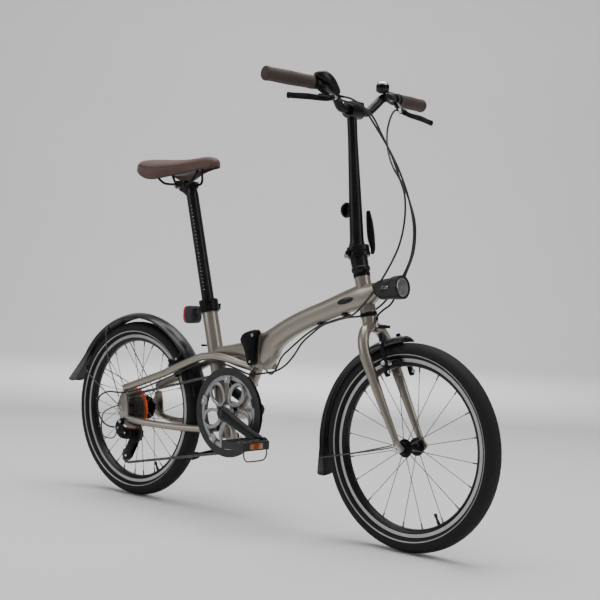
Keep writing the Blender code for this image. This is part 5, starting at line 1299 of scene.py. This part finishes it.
def grip(side):
    """A sleeve of radius r(s) + 0.0004 |sin(pi s / 6 mm)|: shallow ribs, thicker at the palm, a lip at the end."""
    start, far = bar_at(side * 0.165), bar_at(side * 0.305)
    length = np.linalg.norm(far - start)
    s = np.linspace(0.0, 1.0, 220)
    at = np.array([0.0, 0.03, 0.13, 0.3, 0.5, 0.72, 0.91, 0.955, 0.985, 1.0])
    thick = np.array([0.015, 0.0168, 0.016, 0.0168, 0.0174, 0.017, 0.0166, 0.0177, 0.0174, 0.016])
    body = (s > 0.08) * (s < 0.92)
    radius = np.interp(s, at, thick) - 0.0004 * body * (0.5 + 0.5 * np.cos(2 * np.pi * s * length / 0.0062))
    return lathe(np.stack([radius, s * length], axis=1), start, far - start, 64, soft=0.0)


for name, side in (("right", -1.0), ("left", 1.0)):
    piece(f"{name}_grip_sleeve", "post", GRIP, [grip(side)], (f"{name}_grip",))
    inner = bar_at(side * 0.165)
    out = unit(bar_at(side * 0.3) - inner)
    piece(f"{name}_grip_ring", "post", BLACK,
          [lathe(ring(0.0163, 0.0112, -0.0035, 0.0022), inner, out, 64, True)])


# %% Brake levers
def lever_parts(side):
    """The clamp and its arm as one black casting, the blade, and the steel bits."""
    seat = bar_at(side * 0.152)
    along = unit(bar_at(side * 0.2) - seat)
    arm = tube([(seat[0] + 0.006, side * 0.15, seat[2] - 0.01, 0.007, 0.007),
                (0.796, side * 0.142, 1.085, 0.0085, 0.0078),
                (0.808, side * 0.133, 1.076, 0.007, 0.007)], ACROSS, 24, 2.6, 32, dome=0.002)
    yoke = tube([(0.802, side * 0.145, 1.079, 0.006, 0.007), (0.81, side * 0.15, 1.074, 0.007, 0.0078)],
                ACROSS, 10, 3.0, 28, dome=0.0015)
    casting = joined([lathe(ring(0.0155, 0.0112, -0.007, 0.007), seat, along, 64, True), arm, yoke])
    blade = tube([(0.811, side * 0.145, 1.0735, 0.0042, 0.0062), (0.811, side * 0.17, 1.0695, 0.004, 0.0065),
                  (0.806, side * 0.22, 1.068, 0.0034, 0.0074), (0.798, side * 0.265, 1.065, 0.0036, 0.007),
                  (0.796, side * 0.28, 1.064, 0.006, 0.0075)], AHEAD, 70, 2.5, 32, dome=0.002)
    barrel = lathe([(0.0048, 0.0), (0.005, 0.004), (0.0042, 0.005), (0.0042, 0.0085), (0.0034, 0.01)],
                   (0.807, side * 0.131, 1.0765), np.array([0.0, -side, 0.1]), 24, soft=0.0004)
    screws = [bolt((0.811, side * 0.15, 1.08), UP, 0.0034, 0.0018),
              bolt(seat + np.array([0.009, 0.0, -0.014]), np.array([0.5, 0.0, -0.86]), 0.003, 0.0024)]
    return casting, blade, joined([barrel, *screws])


pod_rows = [(0.774, -0.162, 1.129, 0.013, 0.007), (0.78, -0.15, 1.128, 0.017, 0.011),
            (0.786, -0.13, 1.118, 0.017, 0.014), (0.788, -0.109, 1.102, 0.013, 0.011),
            (0.788, -0.097, 1.092, 0.009, 0.008)]
for name, side in (("right", -1.0), ("left", 1.0)):
    casting, blade, bits = lever_parts(side)
    pod = [tube(pod_rows, AHEAD, 60, 3.0, 48, dome=0.002)] if side < 0 else []
    node_name = "shifter_pod" if side < 0 else "left_lever_bracket"
    piece(f"{name}_lever_clamp", "post", SATIN, [casting, *pod], (node_name,))
    piece(f"{name}_lever_blade", f"{name}_lever", BLACK, [blade], (f"{name}_brake_lever",))
    piece(f"{name}_lever_screws", "post", STEEL, [bits])
POD_OUT = unit(np.array([0.1, 0.46, 0.88]))
POD_LONG = unit(np.cross(POD_OUT, AHEAD))
POD_WIDE = np.cross(POD_LONG, POD_OUT)
window = np.stack([0.0165 * np.cos(np.linspace(0, 2 * np.pi, 48, endpoint=False)),
                   0.0095 * np.sin(np.linspace(0, 2 * np.pi, 48, endpoint=False))], axis=1)
pod_axes = (np.array([0.785, -0.1325, 1.1225]), POD_LONG, POD_WIDE, POD_OUT)
piece("shifter_window_edge", "post", PALE, [plate(window * 1.16, 0.008, 0.0121, pod_axes, 0.001, 0)])
piece("shifter_window", "post", CLEAR, [plate(window, 0.009, 0.0127, pod_axes, 0.0012, 0)])
trigger_rows = [(0.788, -0.116, 1.0865, 0.006, 0.0035), (0.78, -0.126, 1.082, 0.0055, 0.0032),
                (0.766, -0.14, 1.082, 0.007, 0.003)]
piece("shift_trigger_tab", "trigger", PLASTIC, [tube(trigger_rows, UP, 24, 2.6, 28, dome=0.0012)],
      ("shift_trigger",))

# %% Bell
BELL = np.array([0.777, 0.093, 1.119])
piece("bell_foot", "post", PLASTIC, [lathe([(0.009, 0.0), (0.016, 0.004), (0.0168, 0.011)], BELL, UP, 64),
                                     lathe(ring(0.015, 0.0112, -0.006, 0.006),
                                           bar_at(0.0)[:1].tolist() + [0.101, 1.107],
                                           unit(np.array([0.1, 0.8, 0.6])), 40, True)], ("bell_base",))
a = np.linspace(0.0, 2 * np.pi, 240, endpoint=False)
d = np.array([0.0113, 0.012, 0.015, 0.018, 0.0195, 0.0205])
slots = 0.0007 * np.clip(3.0 * (np.sin(24 * a) - 0.2), 0.0, 1.0)
skirt = np.stack([np.full_like(a, 0.0166), 0.0168 - 0.3 * slots, 0.0168 - slots, 0.0168 - slots,
                  0.0166 - 0.3 * slots,
                  np.full_like(a, 0.016)])
first, second = frame_of(UP)
skirt_rings = BELL + d[:, None, None] * UP + skirt[...,
                                                   None] * (np.cos(a)[:, None] * first + np.sin(a)[:,
                                                                                                   None] * second)
piece("bell_skirt", "bell", BLACK, [skin(skirt_rings)])
piece("bell_dome", "bell", STEEL, [lathe([(0.016, 0.0206), (0.0154, 0.0235), (0.0135, 0.0265), (0.009, 0.029),
                                          (0.0035, 0.0295)],
                                         BELL, UP, 80, soft=0.003)], ("bell_cap",))

# %% [markdown]
# ## Brakes
# A linear-pull brake is two forged arms on pivots beside the rim. The cable pulls their tips together, and each
# arm carries a rubber pad on a threaded post. The cable comes in through a bent steel tube and a rubber boot.

# %% Brake arms, pads and their hardware
def brake_arm(hub, reach, angle, splay, side, root, tip):
    """The arm, pad and post of one side, the way from pivot to tip, and the places of its bolts."""
    out = np.array([math.cos(angle), 0.0, math.sin(angle)])
    tangent = np.array([-math.sin(angle), 0.0, math.cos(angle)])
    pivot = hub + out * reach + ACROSS * (side * root) + tangent * splay
    rows = []
    for distance, share, w, h in ((-0.008, 0.0, 0.0062, 0.0055), (0.0, 0.0, 0.0072, 0.0064),
                                  (0.012, 0.08, 0.0062, 0.006),
                                  (0.03, 0.25, 0.006, 0.006), (0.055, 0.5, 0.0048, 0.005),
                                  (0.075, 0.72, 0.0048, 0.0048),
                                  (0.096, 1.0, 0.0054, 0.0052)):
        place = pivot + out * distance
        rows.append((place[0], side * (root + (tip - root) * share), place[2], w, h))
    pad_out = unit(out * 0.206 + tangent * splay)
    pad_along = np.array([-pad_out[2], 0.0, pad_out[0]])
    centre = hub + pad_out * 0.206
    pad = block(centre + ACROSS * side * 0.02, (0.029, 0.0045, 0.0048), (pad_along, pad_out, ACROSS), 0.003,
                0.0012)
    slots = [block(centre + ACROSS * side * 0.025 + pad_along * d, (0.0014, 0.0047, 0.0012),
                   (pad_along, pad_out, ACROSS),
                   0.0006, 0.0004) for d in (-0.018, -0.01, 0.01, 0.018)]
    post = lathe([(0.0035, 0.0), (0.0035, abs(root - 0.02))], centre + ACROSS * side * 0.02, ACROSS * side,
                 24)
    washers = [lathe([(0.0062, d), (0.0066, d + 0.0012), (0.0062, d + 0.0024)], centre + ACROSS * side * 0.02,
                     ACROSS * side, 28)
               for d in (0.007, 0.0098)]
    forward = -tangent
    bolts = [bolt(pivot + forward * 0.0058, forward, 0.0052, 0.0032),
             bolt(np.array([rows[-2][0], rows[-2][1], rows[-2][2]]) + ACROSS * side * 0.004, ACROSS * side,
                  0.0034, 0.003),
             nut(centre + ACROSS * side * (root + 0.0045), ACROSS * side, 0.005, 0.0042)]
    tip_place = np.array(rows[-1][:3])
    return [tube(rows, ACROSS, 60, 2.6, 32, dome=0.002)], [pad, *slots], [post, *washers, *bolts], tip_place


BRAKES = {"front": (FRONT_HUB, 0.18, math.radians(111.5), -0.0245, 0.048, 0.0345),
          "rear": (REAR_HUB, 0.176, math.radians(38.5), 0.0, 0.034, 0.0405)}
for place, (hub, reach, angle, splay, root, tip) in BRAKES.items():
    tips = {}
    for name, side in (("right", -1.0), ("left", 1.0)):
        arm, pads, metal, tips[name] = brake_arm(hub, reach, angle, splay, side, root, tip)
        body = f"{name}_{place}_arm"
        piece(f"{name}_{place}_brake_lever_arm", body, BLACK, arm, (f"{name}_{place}_brake_arm",))
        piece(f"{name}_{place}_brake_pad", body, RUBBER, pads)
        piece(f"{name}_{place}_brake_bolts", body, STEEL, metal)
    print(place, "brake tips are", round(float(np.linalg.norm(tips["left"] - tips["right"])), 4), "m apart")
piece("front_brake_noodle", "fork", STEEL,
      [pipe([(0.865, -0.005, 0.545), (0.87, -0.015, 0.54), (0.879, -0.025, 0.536), (0.888, -0.0285, 0.533)],
            0.003, 40, AHEAD, 18, dome=0.0008)])
boot = [(0.889, -0.027, 0.533, 0.0036, 0.0036), (0.89, -0.01, 0.5335, 0.0044, 0.0044),
        (0.89, 0.014, 0.533, 0.003, 0.003)]
piece("front_brake_boot", "fork", RUBBER, [tube(boot, UP, 60, 2.0, 24, dome=0.001,
                                                ripple=lambda t: 0.16 * np.sin(2 * np.pi * 9 * t))])

# %% [markdown]
# ## The saddle
# A saddle is a moulded shell with foam and a skin of synthetic leather over it. The form is a nose that widens to
# two wings, crowned along its length and with a shallow channel down the middle. Its skin is drawn over the edge
# and stitched there, which shows as a line with a raised welt. The swelling of the foam is modelled in the formula:
# the section's height follows sin(a)^0.62, which is flatter than a circle on top and steeper at the sides.

# %% Saddle cover, shell, rails and clamp
SADDLE = [(0.012, 0.045, 0.956, 0.942), (0.03, 0.066, 0.963, 0.928), (0.065, 0.078, 0.964, 0.911),
          (0.1, 0.075, 0.963, 0.904), (0.145, 0.056, 0.9615, 0.912), (0.195, 0.035, 0.963, 0.924),
          (0.245, 0.025, 0.967, 0.934), (0.274, 0.019, 0.964, 0.937), (0.289, 0.009, 0.954, 0.941)]


def saddle_cover(steps=170, around=88):
    """Half turns over the top: y = w sign(cos a) |cos a|^0.75, z = rim + (top - rim) sin(a)^0.62, less a channel
    0.0028 exp(-(y / 0.011)^2) in the middle and a groove at the stitched edge; then back underneath."""
    rows = curve(SADDLE, steps)
    x, half, top, rim = (rows[:, k][:, None] for k in range(4))
    end = np.clip(np.minimum(np.arange(steps), np.arange(steps)[::-1]) / 9.0, 0.0, 1.0)[:, None]
    close = np.sqrt(1.0 - (1.0 - end) ** 2) * 0.9 + 0.1
    half, top = half * close, rim + (top - rim) * close
    a = np.linspace(0.0, np.pi, around)[None, :]
    y = np.sign(np.cos(a)) * np.abs(np.cos(a)) ** 0.75 * half
    channel = 0.0026 * np.exp(-(y / 0.011) ** 2) * np.clip((x - 0.02) / 0.05, 0.0,
                                                           1.0) * np.clip((0.25 - x) / 0.05, 0.0, 1.0)
    welt = np.exp(-((np.sin(a) - 0.34) / 0.035) ** 2)
    z = rim + (top - rim) * np.sin(a) ** 0.62 - channel
    y = y * (1.0 - 0.018 * welt)
    upper = np.stack([x + 0 * a, y, z], axis=-1)
    b = np.pi - a
    under_y = np.sign(np.cos(b)) * np.abs(np.cos(b)) ** 0.75 * (half - 0.0045 * close)
    under_z = rim + 0.0008 + (np.maximum(top - 0.021, rim + 0.001) - rim) * np.sin(b) ** 0.62
    under = np.stack([x + 0 * a, under_y, under_z], axis=-1)
    return skin(np.concatenate([upper, under], axis=1), flat=True)


cover = piece("saddle_cover", "seat", LEATHER, [saddle_cover()], ("saddle",), angle=60.0)
rows = curve(SADDLE, 120)[14:108]
edge_turn = math.asin(0.34)
stitch = np.stack([rows[:, 0], np.cos(edge_turn) ** 0.75 * rows[:, 1] + 0.0001,
                   rows[:, 3] + (rows[:, 2] - rows[:, 3]) * math.sin(edge_turn) ** 0.62], axis=1)
stitch, _ = resampled(stitch, count=104)
piece("saddle_stitches", "seat", GRIP, [both(bars(stitch[0:-1:2], stitch[1::2],
                                                  [(0.0006, 0.0), (0.0008, 0.5), (0.0006, 1.0)], 6))])
rim_rows = curve(SADDLE, 90)[6:84]
shell_rows = [(x, 0.0, 0.5 * (top - 0.025 + rim) + 0.003, half * 0.62, 0.003) for x, half, top,
              rim in rim_rows]
rails = [(0.062, -0.034, 0.937), (0.072, -0.033, 0.92), (0.094, -0.026, 0.899), (0.116, -0.022, 0.893),
         (0.16, -0.022, 0.892), (0.195, -0.022, 0.893), (0.208, -0.019, 0.902), (0.216, -0.011, 0.92),
         (0.219, -0.009, 0.942)]
edge_rows = curve(SADDLE, 140)[8:132]
lip = [(x, -(half - 0.0022), rim + 0.0006, 0.0022, 0.0022) for x, half, top, rim in edge_rows]
piece("saddle_shell", "seat", PLASTIC, [tube(shell_rows, ACROSS, None, 3.0, 40),
                                        both(tube(lip, UP, None, 2.0, 12))])
piece("saddle_rail_pair", "seat", SATIN, [both(pipe(rails, 0.0035, 120, ACROSS, 20))], ("saddle_rails",))
POST_LOW = seat_at(0.41)
post_length = (0.872 - 0.41) / SEAT_UP[2]
clamp_head = [(0.192, 0, 0.864, 0.015, 0.014), (0.18, 0, 0.879, 0.017, 0.02),
              (0.174, 0, 0.8865, 0.027, 0.023)]
piece("seatpost_tube", "seat", SATIN,
      [lathe([(0.017, 0.0), (0.017, post_length - 0.01), (0.015, post_length + 0.006)], POST_LOW, SEAT_UP, 96,
             soft=0.002),
       tube(clamp_head, ACROSS, 24, 3.2, 40),
       block((0.167, 0.0, 0.887), (0.0185, 0.004, 0.028), None, 0.003, 0.001),
       block((0.167, 0.0, 0.8975), (0.0185, 0.004, 0.0285), None, 0.003, 0.001),
       lathe([(0.007, -0.02), (0.007, 0.02)], (0.144, 0.0, 0.887), ACROSS, 36)], ("seatpost",))
piece("saddle_clamp_bolts", "seat", STEEL, [bolt((0.144, s * 0.0198, 0.887), ACROSS * s, 0.0045,
                                                 0.0018) for s in (-1.0, 1.0)])
ticks = []
for k in range(24):
    place = seat_at(0.6 + 0.01 * k)
    side = unit(np.array([0.35, -1.0, 0.09]))
    side = unit(side - SEAT_UP * (side @ SEAT_UP))
    across = np.cross(SEAT_UP, side)
    wide = 0.003 if k % 5 == 0 else 0.0018
    ticks.append(block(place + side * 0.017, (wide, 0.0004, 0.00012), (across, SEAT_UP, side), 0.0001,
                       0.00004))
piece("seatpost_scale", "seat", SPRAY, ticks)

# %% [markdown]
# ## Cables
# Three housings run from the bar: one for the gears and two for the brakes. Each is a plastic tube over coiled
# wire, held at both ends. The routes are lists of points, with a smooth curve through them. Each housing is made
# as up to three stretches, one for each joint it passes: the post's hinge, the steering and the mid hinge.

# %% Cable housings and their ends
SHIFT_CABLE = [(0.79, -0.086, 1.087), (0.797, -0.05, 1.084), (0.807, -0.015, 1.064), (0.836, 0.006, 1.013),
               (0.877, 0.011, 0.954), (0.909, 0.012, 0.9), (0.938, 0.009, 0.84), (0.955, 0.008, 0.78),
               (0.948, 0.018, 0.73), (0.929, 0.029, 0.688), (0.896, 0.037, 0.642), (0.85, 0.035, 0.588),
               (0.805, 0.022, 0.558), (0.76, 0.008, 0.549), (0.72, 0.006, 0.538), (0.681, 0.005, 0.5245),
               (0.642, 0.006, 0.4985), (0.615, 0.005, 0.476), (0.591, 0.003, 0.443), (0.566, -0.0005, 0.416),
               (0.534, -0.003, 0.398), (0.505, -0.014, 0.3905), (0.47, -0.033, 0.3855),
               (0.432, -0.032, 0.393),
               (0.385, -0.0335, 0.4035), (0.335, -0.0345, 0.4075), (0.3, -0.0365, 0.404),
               (0.273, -0.0395, 0.3965),
               (0.21, -0.047, 0.3695), (0.153, -0.053, 0.345), (0.06, -0.06, 0.3105), (0.0, -0.074, 0.298),
               (-0.062, -0.066, 0.294), (-0.112, -0.0575, 0.273), (-0.115, -0.057, 0.233),
               (-0.085, -0.0615, 0.204), (-0.05, -0.0685, 0.196), (-0.014, -0.076, 0.197)]
REAR_BRAKE_CABLE = [(0.806, -0.124, 1.078), (0.812, -0.09, 1.072), (0.817, -0.045, 1.069),
                    (0.829, -0.01, 1.047),
                    (0.856, -0.001, 0.998), (0.887, 0.002, 0.945), (0.91, 0.003, 0.895), (0.931, 0.0, 0.85),
                    (0.937, -0.005, 0.79), (0.932, -0.016, 0.73), (0.912, -0.028, 0.675),
                    (0.885, -0.037, 0.628), (0.85, -0.035, 0.59), (0.807, -0.023, 0.56),
                    (0.762, -0.007, 0.55),
                    (0.72, -0.005, 0.538), (0.681, -0.005, 0.5245), (0.636, -0.006, 0.498),
                    (0.585, -0.003, 0.462),
                    (0.548, 0.004, 0.436), (0.526, 0.009, 0.405), (0.505, 0.018, 0.389),
                    (0.478, 0.034, 0.386),
                    (0.445, 0.045, 0.4), (0.4, 0.05, 0.42), (0.35, 0.05, 0.435), (0.3, 0.045, 0.444),
                    (0.265, 0.032, 0.447), (0.235, 0.015, 0.446)]
FRONT_BRAKE_CABLE = [(0.806, 0.124, 1.078), (0.808, 0.105, 1.074), (0.807, 0.09, 1.052),
                     (0.812, 0.074, 1.015),
                     (0.835, 0.05, 0.97), (0.869, 0.029, 0.925), (0.903, 0.021, 0.886), (0.928, 0.02, 0.845),
                     (0.944, 0.028, 0.785), (0.938, 0.036, 0.72), (0.911, 0.044, 0.665), (0.89, 0.042, 0.62),
                     (0.882, 0.027, 0.589), (0.873, 0.01, 0.574), (0.864, 0.0, 0.56), (0.865, -0.005, 0.545)]
FERRULE = [(0.0029, 0.0), (0.0031, 0.0008), (0.0031, 0.01), (0.0027, 0.011)]
STEERING = ("front", "fork", steer_at(0.6) + SHIFT, steer_at(0.74) + SHIFT)
FOLDING = ("fork", "post", FLANGE + SHIFT - STEER_UP * 0.01, FLANGE + SHIFT + POST_UP * 0.16)
HALVES = ("rear", "front", SHIFT + np.array([0.44, 0.0, 0.0]), SHIFT + np.array([0.6, 0.0, 0.0]))


def housing(name, line, bends, node_name):
    """One stretch of housing, made on a body and then unparented, its place kept where it was made."""
    made = piece(name, bends[0], CABLE, [pipe(line, 0.0025, None, ACROSS, 16)], (node_name,))
    made.parent = None
    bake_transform(made)


for name, route in (("shift", SHIFT_CABLE), ("rear_brake", REAR_BRAKE_CABLE),
                    ("front_brake", FRONT_BRAKE_CABLE)):
    line, length = resampled(curve(route, 60 * len(route)), 0.004)
    high = int(np.argmax(line[:, 2] < 0.735))
    low = int(np.argmax(line[:, 0] < 0.64)) if name != "front_brake" else len(line) - 1
    housing(f"{name}_housing_upper", line[:high + 1], FOLDING, f"{name}_cable")
    housing(f"{name}_housing_middle", line[high:low + 1], STEERING, f"{name}_cable")
    if low < len(line) - 1:
        housing(f"{name}_housing_rear", line[low:], HALVES, f"{name}_cable")
    first, last = unit(line[1] - line[0]), unit(line[-1] - line[-2])
    piece(f"{name}_bar_ferrule", "post", BLACK,
          [lathe(FERRULE, line[0] - first * 0.001, first, 24, soft=0.0003)])
    piece(f"{name}_end_ferrule", "fork" if name == "front_brake" else "rear", BLACK,
          [lathe(FERRULE, line[-1] + last * 0.001, -last, 24, soft=0.0003)])
    print(name, "housing:", round(length, 3), "m long")

# %% [markdown]
# ## Floor, light and the sizes
# Four soft lights stand as in a product studio. A big one overhead lights the bicycle, two weaker ones at the side
# and the front draw long highlights along the tubes, and the strongest one is turned to the wall behind it. The
# world is plain pale grey, so that black parts have something to reflect.

# %% Floor and light
def studio_bowl(flat=6.5, bend=3.0, height=6.0, sides=180):
    """A round floor that turns up into a wall: radius and height follow a quarter circle between the two."""
    t = np.linspace(0.0, np.pi / 2, 24)
    radius = np.concatenate([[0.02, 1.0, 3.0], flat + bend * np.sin(t), [flat + bend]])
    level = np.concatenate([[0.0, 0.0, 0.0], bend * (1.0 - np.cos(t)), [height]]) - 0.0006
    a = np.linspace(0.0, 2 * np.pi, sides, endpoint=False)
    rings = np.stack([radius[:, None] * np.cos(a), radius[:, None] * np.sin(a), level[:, None] + 0 * a],
                     axis=-1)
    points, faces = skin(rings, flat=True)
    return points, faces[:-1]


bowl_points, bowl_faces = studio_bowl()
floor_mesh = bpy.data.meshes.new("floor")
floor_mesh.from_pydata(bowl_points.tolist(), [], bowl_faces)
floor_mesh.shade_smooth()
floor_mesh.materials.append(floor_paint())
floor = bpy.data.objects.new("floor", floor_mesh)
bpy.context.scene.collection.objects.link(floor)


def soft_light(name, place, target, size, power, colour=(1.0, 1.0, 1.0)):
    """A square area light that looks at a point."""
    light = bpy.data.lights.new(name, "AREA")
    light.shape, light.size, light.size_y = "RECTANGLE", size[0], size[1]
    light.energy, light.color = power, colour
    lamp = bpy.data.objects.new(name, light)
    bpy.context.scene.collection.objects.link(lamp)
    lamp.location = place
    lamp.rotation_euler = (Vector(target) - Vector(place)).to_track_quat("-Z", "Y").to_euler()
    return lamp


middle = (0.0, 0.0, 0.5)
soft_light("overhead", (-0.2, 0.2, 3.8), middle, (3.6, 3.0), 165.0)
soft_light("side", (3.4, 0.6, 2.2), middle, (1.2, 2.4), 30.0)
soft_light("back", (-2.2, 2.4, 3.0), (-5.5, 6.2, 1.6), (2.4, 2.0), 230.0)
soft_light("front", (-2.2, -3.6, 2.0), middle, (2.0, 1.8), 34.0)
world = bpy.data.worlds.new("studio")
world.use_nodes = True
background = world.node_tree.nodes["Background"].inputs
WORLD_GREY, WORLD_STRENGTH = 0.62, 0.52
background["Color"].default_value = (WORLD_GREY, WORLD_GREY, WORLD_GREY, 1.0)
background["Strength"].default_value = WORLD_STRENGTH
bpy.context.scene.world = world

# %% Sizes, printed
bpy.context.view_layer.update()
print("pieces:", len(PIECES), "faces:", sum(count for _, count in PIECES))
print("largest pieces:", sorted(PIECES, key=lambda one: -one[1])[:6])
